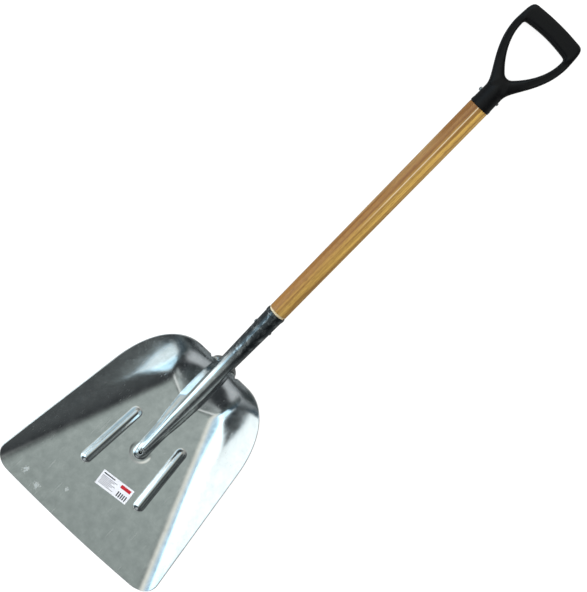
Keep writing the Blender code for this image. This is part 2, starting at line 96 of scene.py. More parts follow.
def add_node(tree: bpy.types.NodeTree, kind: str, settings: dict | None = None,
             links: dict | None = None) -> bpy.types.Node:
    """Add a node with its settings and links.

    Args:
        tree: The node tree.
        kind: The node's type, without its ShaderNode prefix.
        settings: Values by property name, or by input name or number.
        links: Output sockets by the input that each one feeds.

    Returns:
        The new node.
    """
    node = tree.nodes.new("ShaderNode" + kind)
    for key, value in (settings or {}).items():
        if isinstance(key, str) and hasattr(node, key):
            setattr(node, key, value)
        else:
            node.inputs[key].default_value = value
    for key, source in (links or {}).items():
        tree.links.new(source, node.inputs[key])
    return node


def own_axes(tree: bpy.types.NodeTree) -> bpy.types.NodeSocket:
    """The position in the axes that a piece's mesh was made in, for its patterns.

    Args:
        tree: The material's node tree.

    Returns:
        The position's socket.
    """
    return add_node(tree, "Attribute", {"attribute_name": OWN_AXES}).outputs["Vector"]


# -------------------------------------------------------------------------------- finishes


@dataclass(frozen=True)
class Finish:
    """What every finish shares: a name and a Principled shader with its plain values."""

    name: str
    colour: str
    roughness: float
    metallic: float = 0.0

    def material(self) -> bpy.types.Material:
        """Make the finish's material.

        Returns:
            The material, with its pattern nodes.
        """
        material = bpy.data.materials.new(self.name)
        material.use_nodes = True
        tree = material.node_tree
        shader = tree.nodes["Principled BSDF"]
        shader.inputs["Base Color"].default_value = linear(self.colour)
        shader.inputs["Roughness"].default_value = self.roughness
        shader.inputs["Metallic"].default_value = self.metallic
        self.dress(tree, shader)
        return material

    def dress(self, tree: bpy.types.NodeTree, shader: bpy.types.Node) -> None:
        """Add the finish's pattern to the shader."""


@dataclass(frozen=True)
class PressedAluminium(Finish):
    """Bright rolled aluminium sheet, drawn in a press.

    Rolling leaves a soft sheen rather than a mirror, and drawing leaves broad shallow waves that bend the
    reflections, so the walls look streaky. Use adds fine scratches and a few pale scuffs by the cutting edge,
    and hands leave a grey grime on the socket, where the grey is also a painted dark reflection.
    """

    wave: float = 60 * MM                   # width of the press's waves, which run longer along the scoop
    wave_height: float = 0.55 * MM
    wave_stretch: float = 0.45
    mottle: float = 22 * MM                 # patches of duller sheet
    mottle_height: float = 0.02 * MM
    scratch: float = 1.8 * MM               # scratch spacing, far coarser than real ones so that they show
    # Each set of scratches: its direction, and a scratch's length in widths.
    scratches: tuple[Point2, ...] = ((0.35, 70.0), (1.9, 46.0), (2.7, 58.0))
    scratch_depth: float = 0.04 * MM
    scuff_grain: float = 5.26 * MM
    scuffs: tuple[Point3, ...] = ()         # x, y and radius of each pale scuff, in the scoop's axes
    grime_and_dark_reflection: Point2 = (0.405, 0.47)           # y where grime and painted dark reflection on the socket start and where they are full
    grime_and_reflection_patch: float = 8.33 * MM
    dull: str = "#BABEBF"
    bright: str = "#F4F6F6"
    worn_metal: str = "#F4F5F5"
    # grey of the socket's grime, which also stands in for its dark reflection
    grime_and_dark_reflection_colour: str = "#42484C"

    def scratched(self, tree: bpy.types.NodeTree, place: bpy.types.NodeSocket) -> bpy.types.NodeSocket:
        """Fine straight scratches, which lie in patches and in three directions.

        Args:
            tree: The material's node tree.
            place: The position in the scoop's axes.

        Returns:
            How scratched each point is, from 0 to 1.
        """
        total = None
        for turn, stretch in self.scratches:
            settings = {"Rotation": (0.0, 0.0, turn), "Scale": (1.0, 1.0 / stretch, 1.0)}
            along = add_node(tree, "Mapping", settings, {"Vector": place}).outputs[0]
            lines = add_node(tree, "TexNoise", {"Scale": 1 / self.scratch, "Detail": 2.0},
                             {"Vector": along}).outputs[0]
            patch = add_node(tree, "TexNoise", {"Scale": 14.0 + 5 * turn, "Detail": 1.0},
                             {"Vector": place}).outputs[0]
            thin = add_node(tree, "MapRange", {"From Min": 0.675, "From Max": 0.76}, {"Value": lines})
            where = add_node(tree, "MapRange", {"From Min": 0.50, "From Max": 0.62}, {"Value": patch})
            mark = add_node(tree, "Math", {"operation": "MULTIPLY"},
                            {0: thin.outputs[0], 1: where.outputs[0]}).outputs[0]
            if total is not None:
                mark = add_node(tree, "Math", {"operation": "MAXIMUM"}, {0: total, 1: mark}).outputs[0]
            total = mark
        return total

    def scuffed(self, tree: bpy.types.NodeTree, place: bpy.types.NodeSocket,
                worn: bpy.types.NodeSocket) -> bpy.types.NodeSocket:
        """Ragged pale scuffs, added to the scratches.

        Args:
            tree: The material's node tree.
            place: The position in the scoop's axes.
            worn: How scratched each point is.

        Returns:
            How worn each point is, from 0 to 1.
        """
        ragged = add_node(tree, "TexNoise", {"Scale": 1 / self.scuff_grain, "Detail": 4.0, "Roughness": 0.7,
                                             "Distortion": 0.6}, {"Vector": place}).outputs[0]
        for x, y, radius in self.scuffs:
            reach = add_node(tree, "VectorMath", {"operation": "DISTANCE", 1: (x, y, 0.0)}, {0: place})
            near = add_node(tree, "MapRange", {"From Min": radius, "From Max": 0.0, "To Max": 0.6},
                            {"Value": reach.outputs["Value"]}).outputs[0]
            total = add_node(tree, "Math", {"operation": "ADD"}, {0: near, 1: ragged}).outputs[0]
            scuff = add_node(tree, "MapRange", {"From Min": 0.88, "From Max": 1.0}, {"Value": total})
            worn = add_node(tree, "Math", {"operation": "MAXIMUM"}, {0: worn, 1: scuff.outputs[0]}).outputs[0]
        return worn

    def grime_and_dark_reflection_mask(self, tree: bpy.types.NodeTree, place: bpy.types.NodeSocket,
              drawn: bpy.types.NodeSocket) -> bpy.types.NodeSocket:
        """Patchy grime and painted dark reflection that begin on the boss and are full on the socket.

        Args:
            tree: The material's node tree.
            place: The position in the scoop's axes.
            drawn: The same position, stretched along the scoop.

        Returns:
            How grimy and darkened by painted reflection each point is, from 0 to 1.
        """
        smear = add_node(tree, "TexNoise", {"Scale": 1 / self.grime_and_reflection_patch, "Detail": 5.0, "Roughness": 0.68},
                         {"Vector": drawn}).outputs[0]
        smear = add_node(tree, "MapRange", {"From Min": 0.22, "From Max": 0.50}, {"Value": smear}).outputs[0]
        along = add_node(tree, "SeparateXYZ", {}, {0: place}).outputs[1]
        start, full = self.grime_and_dark_reflection
        handled = add_node(tree, "MapRange", {"From Min": start, "From Max": full, "To Max": 0.95},
                           {"Value": along}).outputs[0]
        return add_node(tree, "Math", {"operation": "MULTIPLY"}, {0: smear, 1: handled}).outputs[0]

    def dress(self, tree: bpy.types.NodeTree, shader: bpy.types.Node) -> None:
        """Waves, mottling, scratches, scuffs, and grime with a painted dark reflection.

        Args:
            tree: The material's node tree.
            shader: Its Principled shader.
        """
        place = own_axes(tree)
        drawn = add_node(tree, "Mapping", {"Scale": (1.0, self.wave_stretch, 1.0)},
                         {"Vector": place}).outputs[0]
        waves = add_node(tree, "TexNoise", {"Scale": 1 / self.wave, "Detail": 1.5, "Roughness": 0.4},
                         {"Vector": drawn}).outputs[0]
        mottle = add_node(tree, "TexNoise", {"Scale": 1 / self.mottle, "Detail": 5.0, "Roughness": 0.62},
                          {"Vector": place}).outputs[0]
        worn = self.scuffed(tree, place, self.scratched(tree, place))
        grime_and_dark_reflection = self.grime_and_dark_reflection_mask(tree, place, drawn)
        rough = add_node(tree, "MapRange", {"From Min": 0.35, "From Max": 0.68,
                                            "To Min": self.roughness - 0.02, "To Max": self.roughness + 0.05},
                         {"Value": mottle}).outputs[0]
        for amount, rougher in ((worn, 0.32), (grime_and_dark_reflection, 0.16)):
            rough = add_node(tree, "Math", {"operation": "MULTIPLY_ADD", 1: rougher},
                             {0: amount, 2: rough}).outputs[0]
        tree.links.new(rough, shader.inputs["Roughness"])
        tint = add_node(tree, "Mix", {"data_type": "RGBA", 6: linear(self.dull), 7: linear(self.bright)},
                        {0: mottle}).outputs[2]
        # the socket's grime also paints in its dark reflection, over the mouth's bead too
        for amount, colour in ((worn, self.worn_metal), (grime_and_dark_reflection, self.grime_and_dark_reflection_colour)):
            tint = add_node(tree, "Mix", {"data_type": "RGBA", 7: linear(colour)},
                            {0: amount, 6: tint}).outputs[2]
        tree.links.new(tint, shader.inputs["Base Color"])
        broad = add_node(tree, "Bump", {"Strength": 1.0, "Distance": self.wave_height}, {"Height": waves})
        skin = add_node(tree, "Bump", {"Strength": 1.0, "Distance": self.mottle_height},
                        {"Height": mottle, "Normal": broad.outputs[0]})
        cut = add_node(tree, "Bump", {"Strength": 0.5, "Distance": -self.scratch_depth},
                       {"Height": worn, "Normal": skin.outputs[0]})
        tree.links.new(cut.outputs[0], shader.inputs["Normal"])


@dataclass(frozen=True)
class ZincPlatedSteel(Finish):
    """Zinc-plated steel, headed cold: dull and slightly uneven, with a grey bloom."""

    bloom: float = 1.6 * MM
    bloom_height: float = 0.05 * MM
    bloom_colour: str = "#A9ABAC"
    painted_shade_below: float = -1.0                # height under which shade is painted dark, as in a rivet's bore
    painted_shade_colour: str = "#141312"

    def dress(self, tree: bpy.types.NodeTree, shader: bpy.types.Node) -> None:
        """Grey bloom in the plating, and painted shade low in a bore.

        Args:
            tree: The material's node tree.
            shader: Its Principled shader.
        """
        place = own_axes(tree)
        bloom = add_node(tree, "TexNoise", {"Scale": 1 / self.bloom, "Detail": 3.0},
                         {"Vector": place}).outputs[0]
        rough = add_node(tree, "MapRange", {"To Min": self.roughness - 0.08, "To Max": self.roughness + 0.15},
                         {"Value": bloom}).outputs[0]
        tree.links.new(rough, shader.inputs["Roughness"])
        tones = {"data_type": "RGBA", 6: linear(self.bloom_colour), 7: linear(self.colour)}
        tint = add_node(tree, "Mix", tones, {0: bloom}).outputs[2]
        # painted shade: below the given height the colour turns near black, where the bore lies in shade
        height = add_node(tree, "SeparateXYZ", {}, {0: place}).outputs[2]
        bore_shade = add_node(tree, "MapRange", {"From Min": self.painted_shade_below, "From Max": self.painted_shade_below - 1 * MM},
                        {"Value": height}).outputs[0]
        tint = add_node(tree, "Mix", {"data_type": "RGBA", 7: linear(self.painted_shade_colour)},
                        {0: bore_shade, 6: tint}).outputs[2]
        tree.links.new(tint, shader.inputs["Base Color"])
        bump = add_node(tree, "Bump", {"Strength": 0.4, "Distance": self.bloom_height}, {"Height": bloom})
        tree.links.new(bump.outputs[0], shader.inputs["Normal"])


@dataclass(frozen=True)
class VarnishedBeech(Finish):
    """Turned beech under a thin clear varnish.

    Turning cuts the grain lengthwise, so it runs as long soft streaks with short dark flecks. The varnish
    warms the colour; its narrow gloss is a painted highlight, a pale line along the upper shaft. The toe and
    the cut ends stay bare and pale. The axes are the shaft's: x across, z from the back rim towards the grip.
    """

    dark: str = "#6E3F1C"
    sap: str = "#EAC068"                    # golden sapwood side
    painted_highlight: str = "#EBD9BB"                   # painted highlight: a pale line of varnish gloss where they meet
    pale: str = "#C9A56A"
    fleck_colour: str = "#6E421F"
    bare: str = "#F0DFBC"
    ring: float = 10 * MM                   # spacing of the growth rings' streaks
    streak: float = 520 * MM                # length of a streak
    broad: float = 26.3 * MM                # width of the broad paler bands, ten times as long
    fleck: float = 0.8 * MM                 # width of a fleck, coarser than beech's rays so that it shows
    fleck_height: float = 0.12 * MM
    sides: Point2 = (-7 * MM, 9 * MM)       # x over which the heartwood turns into sapwood
    wander: float = 2.2 * MM                # how far the line between them strays
    flame_x: float = -5.5 * MM              # middle of the dark flame
    flame_z: Point2 = (0.30, 0.52)          # where the flame is narrowest and widest
    flame_half: Point2 = (0.5 * MM, 5.2 * MM)
    painted_highlight_half: Point2 = (1.1 * MM, 0.4 * MM)
    painted_highlight_z: Point2 = (0.36, 0.46)           # where the painted highlight begins and where it is full
    varnish: float = 0.25
    varnish_roughness: float = 0.22
    bare_below: float = 0.0                 # the wood is bare up to this height along the shaft
    bare_fade: float = 2.2 * MM

    def tone(self, tree: bpy.types.NodeTree, place: bpy.types.NodeSocket, rings: bpy.types.NodeSocket,
             flecks: bpy.types.NodeSocket) -> bpy.types.NodeSocket:
        """The wood's colour.

        Args:
            tree: The material's node tree.
            place: The position in the shaft's axes.
            rings: The growth rings' noise.
            flecks: The flecks' noise.

        Returns:
            The wood's colour, with a painted highlight along the shaft.
        """
        x, _, z = add_node(tree, "SeparateXYZ", {}, {0: place}).outputs
        stretched = add_node(tree, "Mapping", {"Scale": (1.0, 1.0, 0.10)}, {"Vector": place}).outputs[0]
        broad = add_node(tree, "TexNoise", {"Scale": 1 / self.broad, "Detail": 2.0},
                         {"Vector": stretched}).outputs[0]
        side = add_node(tree, "MapRange", {"From Min": self.sides[0], "From Max": self.sides[1]},
                        {"Value": x}).outputs[0]
        tone = add_node(tree, "Mix", {"data_type": "RGBA", 6: linear(self.colour), 7: linear(self.sap)},
                        {0: side}).outputs[2]
        wander = add_node(tree, "MapRange", {"To Min": -self.wander, "To Max": self.wander},
                          {"Value": broad}).outputs[0]
        across = add_node(tree, "Math", {"operation": "SUBTRACT"}, {0: x, 1: wander}).outputs[0]
        from_flame = add_node(tree, "Math", {"operation": "SUBTRACT", 1: self.flame_x}, {0: across})
        from_flame = add_node(tree, "Math", {"operation": "ABSOLUTE"}, {0: from_flame.outputs[0]}).outputs[0]
        width = add_node(tree, "MapRange", {"From Min": self.flame_z[0], "From Max": self.flame_z[1],
                                            "To Min": self.flame_half[0], "To Max": self.flame_half[1]},
                         {"Value": z}).outputs[0]
        flame = add_node(tree, "MapRange", {"From Max": 0.0, "To Max": 0.55},
                         {"Value": from_flame, "From Min": width}).outputs[0]
        grain = add_node(tree, "MapRange", {"From Min": 0.44, "From Max": 0.66}, {"Value": rings}).outputs[0]
        deep = add_node(tree, "Math", {"operation": "MULTIPLY_ADD", 1: 0.72, "use_clamp": True},
                        {0: grain, 2: flame}).outputs[0]
        pale = add_node(tree, "MapRange", {"From Min": 0.52, "From Max": 0.70, "To Max": 0.55},
                        {"Value": broad}).outputs[0]
        fleck = add_node(tree, "MapRange", {"From Min": 0.52, "From Max": 0.72, "To Max": 0.65},
                         {"Value": flecks}).outputs[0]
        # painted highlight: a narrow pale line of varnish gloss on the upper shaft
        from_painted_highlight = add_node(tree, "Math", {"operation": "ABSOLUTE"}, {0: across}).outputs[0]
        thin = add_node(tree, "MapRange", {"From Min": self.painted_highlight_half[0], "From Max": self.painted_highlight_half[1]},
                        {"Value": from_painted_highlight}).outputs[0]
        upper = add_node(tree, "MapRange", {"From Min": self.painted_highlight_z[0], "From Max": self.painted_highlight_z[1],
                                            "To Max": 0.8}, {"Value": z}).outputs[0]
        painted_highlight = add_node(tree, "Math", {"operation": "MULTIPLY"}, {0: thin, 1: upper}).outputs[0]
        bare = add_node(tree, "MapRange", {"From Min": self.bare_below + self.bare_fade,
                                           "From Max": self.bare_below}, {"Value": z}).outputs[0]
        layers = ((deep, self.dark), (pale, self.pale), (fleck, self.fleck_colour), (painted_highlight, self.painted_highlight),
                  (bare, self.bare))
        for amount, colour in layers:
            tone = add_node(tree, "Mix", {"data_type": "RGBA", 7: linear(colour)},
                            {0: amount, 6: tone}).outputs[2]
        return tone

    def dress(self, tree: bpy.types.NodeTree, shader: bpy.types.Node) -> None:
        """Growth rings, streaks, flecks, bare ends, varnish and a painted highlight.

        Args:
            tree: The material's node tree.
            shader: Its Principled shader.
        """
        place = own_axes(tree)
        along = add_node(tree, "Mapping", {"Scale": (1.0, 1.0, self.ring / self.streak)}, {"Vector": place})
        rings = add_node(tree, "TexNoise", {"Scale": 1 / self.ring, "Detail": 4.0, "Roughness": 0.62,
                                            "Distortion": 0.8}, {"Vector": along.outputs[0]}).outputs[0]
        fine = add_node(tree, "Mapping", {"Scale": (1.0, 1.0, 0.06)}, {"Vector": place}).outputs[0]
        flecks = add_node(tree, "TexNoise", {"Scale": 1 / self.fleck, "Detail": 2.0},
                          {"Vector": fine}).outputs[0]
        tree.links.new(self.tone(tree, place, rings, flecks), shader.inputs["Base Color"])
        rough = add_node(tree, "MapRange", {"To Min": self.roughness - 0.05, "To Max": self.roughness + 0.12},
                         {"Value": rings}).outputs[0]
        tree.links.new(rough, shader.inputs["Roughness"])
        shader.inputs["Coat Weight"].default_value = self.varnish
        shader.inputs["Coat Roughness"].default_value = self.varnish_roughness
        bump = add_node(tree, "Bump", {"Strength": 0.35, "Distance": self.fleck_height}, {"Height": flecks})
        tree.links.new(bump.outputs[0], shader.inputs["Normal"])


@dataclass(frozen=True)
class MouldedPolypropylene(Finish):
    """Black polypropylene from a spark-eroded mould: satin, with a fine even grain."""

    grain: float = 0.7 * MM
    grain_height: float = 0.06 * MM
    handled: float = 23.8 * MM              # patches that hands have polished
    polished: str = "#0E0E10"
    specular: float = 0.26

    def dress(self, tree: bpy.types.NodeTree, shader: bpy.types.Node) -> None:
        """Mould grain and handling shine.

        Args:
            tree: The material's node tree.
            shader: Its Principled shader.
        """
        place = add_node(tree, "TexCoord").outputs["Object"]    # the grip's remeshing drops its own axes
        grain = add_node(tree, "TexNoise", {"Scale": 1 / self.grain, "Detail": 2.0},
                         {"Vector": place}).outputs[0]
        worn = add_node(tree, "TexNoise", {"Scale": 1 / self.handled, "Detail": 3.0},
                        {"Vector": place}).outputs[0]
        rough = add_node(tree, "MapRange", {"From Min": 0.35, "From Max": 0.65,
                                            "To Min": self.roughness - 0.07, "To Max": self.roughness + 0.08},
                         {"Value": worn}).outputs[0]
        tree.links.new(rough, shader.inputs["Roughness"])
        tint = add_node(tree, "Mix", {"data_type": "RGBA", 6: linear(self.colour), 7: linear(self.polished)},
                        {0: worn}).outputs[2]
        tree.links.new(tint, shader.inputs["Base Color"])
        shader.inputs["Specular IOR Level"].default_value = self.specular
        bump = add_node(tree, "Bump", {"Strength": 0.35, "Distance": self.grain_height}, {"Height": grain})
        tree.links.new(bump.outputs[0], shader.inputs["Normal"])


@dataclass(frozen=True)
class CoatedPaper(Finish):
    """Coated label paper, flat printed: matt white with a faint fibre."""

    fibre: float = 0.6 * MM
    fibre_height: float = 0.04 * MM
    patch: float = 16.7 * MM                # soiled patches
    soil: str = "#E6E4EC"

    def dress(self, tree: bpy.types.NodeTree, shader: bpy.types.Node) -> None:
        """Faint fibre and a slightly soiled tint.

        Args:
            tree: The material's node tree.
            shader: Its Principled shader.
        """
        place = own_axes(tree)
        fibre = add_node(tree, "TexNoise", {"Scale": 1 / self.fibre, "Detail": 4.0},
                         {"Vector": place}).outputs[0]
        patches = add_node(tree, "TexNoise", {"Scale": 1 / self.patch, "Detail": 3.0},
                           {"Vector": place}).outputs[0]
        tint = add_node(tree, "Mix", {"data_type": "RGBA", 6: linear(self.colour), 7: linear(self.soil)},
                        {0: patches}).outputs[2]
        tree.links.new(tint, shader.inputs["Base Color"])
        bump = add_node(tree, "Bump", {"Strength": 0.3, "Distance": self.fibre_height}, {"Height": fibre})
        tree.links.new(bump.outputs[0], shader.inputs["Normal"])


# -------------------------------------------------------------------------------- mesh helpers


@dataclass(frozen=True)
class Placement:
    """Where the scoop's axes lie in the frame."""

    matrix: Matrix

    @classmethod
    def from_frame(cls, sheet: float) -> "Placement":
        """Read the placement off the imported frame.

        The flat underside's normal gives the tilt. The cutting edge's middle is the scoop's origin: its top
        face is the blade's highest point and its underside is the shovel's frontmost point.

        Args:
            sheet: The sheet's thickness.

        Returns:
            The placement.
        """
        mount = next(m for m in frame["record"]["mounts"] if m["name"] == "floor_underside")
        tilt = math.atan2(-mount["axis"][1], -mount["axis"][2])
        low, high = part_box("blade")
        origin = Vector((0.0, low[1] + sheet * math.sin(tilt), high[2]))
        return cls(Matrix.Translation(origin) @ Matrix.Rotation(-tilt, 4, "X"))

    def put(self, piece: bpy.types.Object, local: Matrix | None = None) -> None:
        """Move a piece's mesh into place, from the scoop's axes or from axes that local turns into them.

        Args:
            piece: The piece, whose vertices also keep their positions in their own axes.
            local: Turns the piece's own axes into the scoop's.
        """
        mesh = piece.data
        kept = mesh.attributes.new(OWN_AXES, "FLOAT_VECTOR", "POINT")
        kept.data.foreach_set("vector", [value for vertex in mesh.vertices for value in vertex.co])
        mesh.transform(self.matrix @ (local or Matrix.Identity(4)))
        mesh.update()


def turned(profile: Sequence[Point2], steps: int) -> bmesh.types.BMesh:
    """Turn a profile round z.

    Args:
        profile: Points of radius and height, from axis to axis.
        steps: Number of facets.

    Returns:
        The turned body.
    """
    bm = bmesh.new()
    verts = [bm.verts.new((radius, 0.0, height)) for radius, height in profile]
    edges = [bm.edges.new(pair) for pair in zip(verts, verts[1:])]
    bmesh.ops.spin(bm, geom=verts + edges, cent=(0, 0, 0), axis=(0, 0, 1), angle=math.tau, steps=steps,
                   use_merge=True)
    bmesh.ops.remove_doubles(bm, verts=bm.verts, dist=0.000001)
    return bm


def sleeve(rings: Sequence[Sequence[Point3]], closed: bool = False) -> bmesh.types.BMesh:
    """Join rings of points with quads.

    Args:
        rings: The rings, each with the same number of points.
        closed: Whether the last ring joins the first. If not, both ends are capped.

    Returns:
        The closed body.
    """
    bm = bmesh.new()
    loops = [[bm.verts.new(point) for point in ring] for ring in rings]
    size = len(loops[0])
    pairs = list(zip(loops, loops[1:]))
    if closed:
        pairs.append((loops[-1], loops[0]))
    for near, far in pairs:
        for k in range(size):
            following = (k + 1) % size
            bm.faces.new((near[k], near[following], far[following], far[k]))
    if not closed:
        bm.faces.new(reversed(loops[0]))
        bm.faces.new(loops[-1])
    return bm


def bezier(start: Point2, handle_a: Point2, handle_b: Point2, end: Point2, count: int) -> list[Point2]:
    """Points along a cubic curve.

    Args:
        start: First point.
        handle_a: Its handle.
        handle_b: The last point's handle.
        end: Last point.
        count: Number of spans.

    Returns:
        count + 1 points.
    """
    points = []
    for k in range(count + 1):
        t = k / count
        weights = ((1 - t) ** 3, 3 * t * (1 - t) ** 2, 3 * t * t * (1 - t), t ** 3)
        controls = (start, handle_a, handle_b, end)
        x, y = (sum(w * c[axis] for w, c in zip(weights, controls)) for axis in (0, 1))
        points.append((x, y))
    return points


def resample(points: Sequence[Point2], fractions: Iterable[float]) -> list[Point2]:
    """Points at fractions of a polyline's length.

    Args:
        points: The polyline.
        fractions: Rising values from 0 to 1.

    Returns:
        One point for each fraction.
    """
    lengths = [0.0]
    for a, b in zip(points, points[1:]):
        lengths.append(lengths[-1] + math.dist(a, b))
    result = []
    k = 0
    for fraction in fractions:
        target = fraction * lengths[-1]
        while k < len(points) - 2 and lengths[k + 1] < target:
            k += 1
        t = (target - lengths[k]) / (lengths[k + 1] - lengths[k])
        (ax, ay), (bx, by) = points[k], points[k + 1]
        result.append((ax + t * (bx - ax), ay + t * (by - ay)))
    return result


def smooth_step(value: float) -> float:
    """Rise smoothly from 0 to 1 while value goes from 0 to 1."""
    part = min(max(value, 0.0), 1.0)
    return part * part * (3 - 2 * part)


def make_piece(name: str, bm: bmesh.types.BMesh, finish: bpy.types.Material,
               sharp: float = 40.0) -> bpy.types.Object:
    """Turn a bmesh into a smooth-shaded piece.

    Args:
        name: The piece's name.
        bm: Its mesh, which is freed.
        finish: Its material.
        sharp: Edges over this many degrees stay sharp.

    Returns:
        The piece, in the scene.
    """
    mesh = bpy.data.meshes.new(name)
    bm.to_mesh(mesh)
    bm.free()
    mesh.shade_smooth()
    mesh.set_sharp_from_angle(angle=math.radians(sharp))
    mesh.materials.append(finish)
    piece = bpy.data.objects.new(name, mesh)
    bpy.context.scene.collection.objects.link(piece)
    return piece


def hand_over(piece: bpy.types.Object, slot: Slot, *nodes: str) -> None:
    """Put a finished piece on the shovel's body, in place of its CAD nodes.

    Args:
        piece: The piece, in its place.
        slot: The record's slot for the piece's finish, not used.
        nodes: The CAD nodes that it stands for.
    """
    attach(piece, "root")
    if nodes:
        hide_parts(*nodes)
    log.info("%s: %d vertices, rides on root", piece.name, len(piece.data.vertices))


# -------------------------------------------------------------------------------- sub-assemblies


@dataclass
class Scoop:
    """Pan, boss and rolled socket, pressed from one aluminium sheet."""

    sheet: float = 1.6 * MM
    length: float = 428 * MM                # cutting edge to back rim
    edge_crown: float = 3.5 * MM
    edge_end: float = 160 * MM
    front_corner: Point2 = (197.5 * MM, 42 * MM)
    shoulder: Point2 = (157.5 * MM, 300 * MM)
    rim_flat: float = 58 * MM
    rounding: float = 0.56                  # handle of a quarter curve, as a part of its side
    notch: float = 3.0 * MM                 # relief notch between the rim and each ear
    notch_half: float = 2.6 * MM

    floor_half_back: float = 74 * MM
    floor_half_front: float = 190 * MM
    floor_front_y: float = 30 * MM
    heel_y: float = 330 * MM
    heel_radius: float = 103.6 * MM
    wall_slope: float = 0.94
    fold_half: float = 28 * MM              # the bend between floor and wall is broad
    crease_y: float = 327 * MM              # light crease that the press leaves across the heel
    crease_sweep: float = 0.45
    crease_slope: float = math.tan(math.radians(17.0))
    crease_bow: float = 2.1                 # the heel steepens by this slope for each metre behind its crease
    crease_blend: float = 1.8 * MM
    crown_blend: float = 13 * MM            # how softly the heel turns up towards the rim

    lift: float = math.radians(20.0)
    axis_at_rim: float = 72 * MM
    boss_radius_full: float = 20 * MM
    boss_full_y: float = 290 * MM
    boss_radius_tip: float = 6.5 * MM
    boss_radius_heel: float = 13.5 * MM
    draft_tip: float = 0.76                 # the boss is a low roof at its tip and steep-sided at the heel
    draft_heel: float = 0.983
    boss_blend: float = 4.5 * MM
    dish_radius: float = 21 * MM            # shallow dish round the boss's tip
    dish_depth: float = 1.2 * MM

    bead_half: float = 11.0 * MM
    bead_rise: float = 7 * MM
    bead_back: Point2 = (59 * MM, 249 * MM)
    bead_front: Point2 = (69 * MM, 124 * MM)

    socket_length: float = 148 * MM
    socket_radius_rim: float = 16.5 * MM
    socket_radius_mouth: float = 19.1 * MM
    mouth_bead: float = 0.9 * MM
    mouth_bead_length: float = 9 * MM
    tab_half: float = 28 * MM
    ear_length: float = 18 * MM
    square_length: float = 60 * MM
    seam_half_angle: float = math.radians(1.8)

    rivet_y: float = 199.5 * MM
    seat_height: float = 8.5 * MM
    rivet_hole: float = 4.4 * MM

    boss_steps: int = 30
    ear_steps: int = 16
    outer_steps: int = 84
    row_count: int = 240

    def axis_point(self, distance: float) -> Vector:
        """A point on the shaft's axis, that far from the back rim."""
        return Vector((0.0, self.length + distance * math.cos(self.lift),
                       self.axis_at_rim + distance * math.sin(self.lift)))

    def edge_y(self, x: float) -> float:
        """The cutting edge is a shallow curve."""
        return self.edge_crown * (x / self.edge_end) ** 2

    def strip_columns(self) -> list[Point2]:
        """x of the middle strip's columns, and the angle round the socket that each turns into.

        Returns:
            One pair for each column, from the middle outwards.
        """
        radius = self.socket_radius_rim
        quarter = math.pi / 2
        columns = []
        for k in range(self.boss_steps + 1):
            angle = quarter * k / self.boss_steps
            columns.append((radius * math.sin(angle), angle))
        for k in range(1, self.ear_steps + 1):
            part = k / self.ear_steps
            columns.append((radius + (self.tab_half - radius) * part,
                            quarter + (quarter - self.seam_half_angle) * part))
        return columns

    def corner_curves(self) -> tuple[list[Point2], list[Point2]]:
        """The front corner's and the shoulder's curves, going away from the cutting edge.

        Returns:
            The two curves of the right half, as points.
        """
        side_x, side_y = self.front_corner
        top_x, top_y = self.shoulder
        slope = (top_x - side_x) / (top_y - side_y)
        end_y = self.edge_y(self.edge_end)
        front_handle = self.rounding * (side_y - end_y)
        edge_handle = self.rounding * (side_x - self.edge_end) * 1.25
        edge_slope = 2 * self.edge_crown / self.edge_end
        front = bezier((self.edge_end, end_y),
                       (self.edge_end + edge_handle, end_y + edge_slope * edge_handle),
                       (side_x - slope * front_handle, side_y - front_handle), self.front_corner, 40)
        side_handle = self.rounding * (self.length - top_y)
        rim_handle = self.rounding * (top_x - self.rim_flat)
        back = bezier(self.shoulder, (top_x + slope * side_handle, top_y + side_handle),
                      (self.rim_flat + rim_handle, self.length), (self.rim_flat, self.length), 60)
        return front, back

    def plan(self) -> dict[tuple[int, int], Point2]:
        """Plan positions of the right half's grid, keyed by column and row.

        Returns:
            x and y for each column and row.
        """
        rows = [j / self.row_count for j in range(self.row_count + 1)]
        columns = self.strip_columns()
        plan = {}
        for i, (x, _) in enumerate(columns):
            for j, v in enumerate(rows):
                plan[i, j] = (x, self.edge_y(x) + v * (self.length - self.edge_y(x)))
        front, back = self.corner_curves()
        half_front, half_back = len(front) // 2, len(back) // 2
        edge_line = []
        for k in range(40):
            x = self.tab_half + (self.edge_end - self.tab_half) * k / 40
            edge_line.append((x, self.edge_y(x)))
        edge_line += front[:half_front + 1]
        rim_line = [(self.tab_half, self.length)] + back[half_back:][::-1]
        steps = [k / self.outer_steps for k in range(self.outer_steps + 1)]
        edge_points = resample(edge_line, steps)
        rim_points = resample(rim_line, steps)
        outer_points = resample(front[half_front:] + back[:half_back + 1], rows)
        last = len(columns) - 1
        corners = (edge_points[0], edge_points[-1], rim_points[0], rim_points[-1])
        for k, u in enumerate(steps[1:], start=1):
            for j, v in enumerate(rows):
                inner = plan[last, j]
                point = []
                for axis in (0, 1):
                    across = (1 - u) * inner[axis] + u * outer_points[j][axis]
                    along = (1 - v) * edge_points[k][axis] + v * rim_points[k][axis]
                    twice = ((1 - u) * (1 - v) * corners[0][axis] + u * (1 - v) * corners[1][axis]
                             + (1 - u) * v * corners[2][axis] + u * v * corners[3][axis])
                    point.append(across + along - twice)
                dip = math.exp(-((point[0] - self.tab_half - self.notch_half) / self.notch_half) ** 2)
                near_rim = smooth_step((point[1] - self.length + 12 * MM) / (12 * MM))
                plan[last + k, j] = (point[0], point[1] - self.notch * dip * near_rim)
        return plan

    def fold(self, distance: float) -> float:
        """Height past the bend between floor and side wall.

        Args:
            distance: Distance outwards from the middle of the bend.

        Returns:
            The height.
        """
        if distance <= -self.fold_half:
            return 0.0
        if distance >= self.fold_half:
            return self.wall_slope * distance
        return self.wall_slope * (distance + self.fold_half) ** 2 / (4 * self.fold_half)

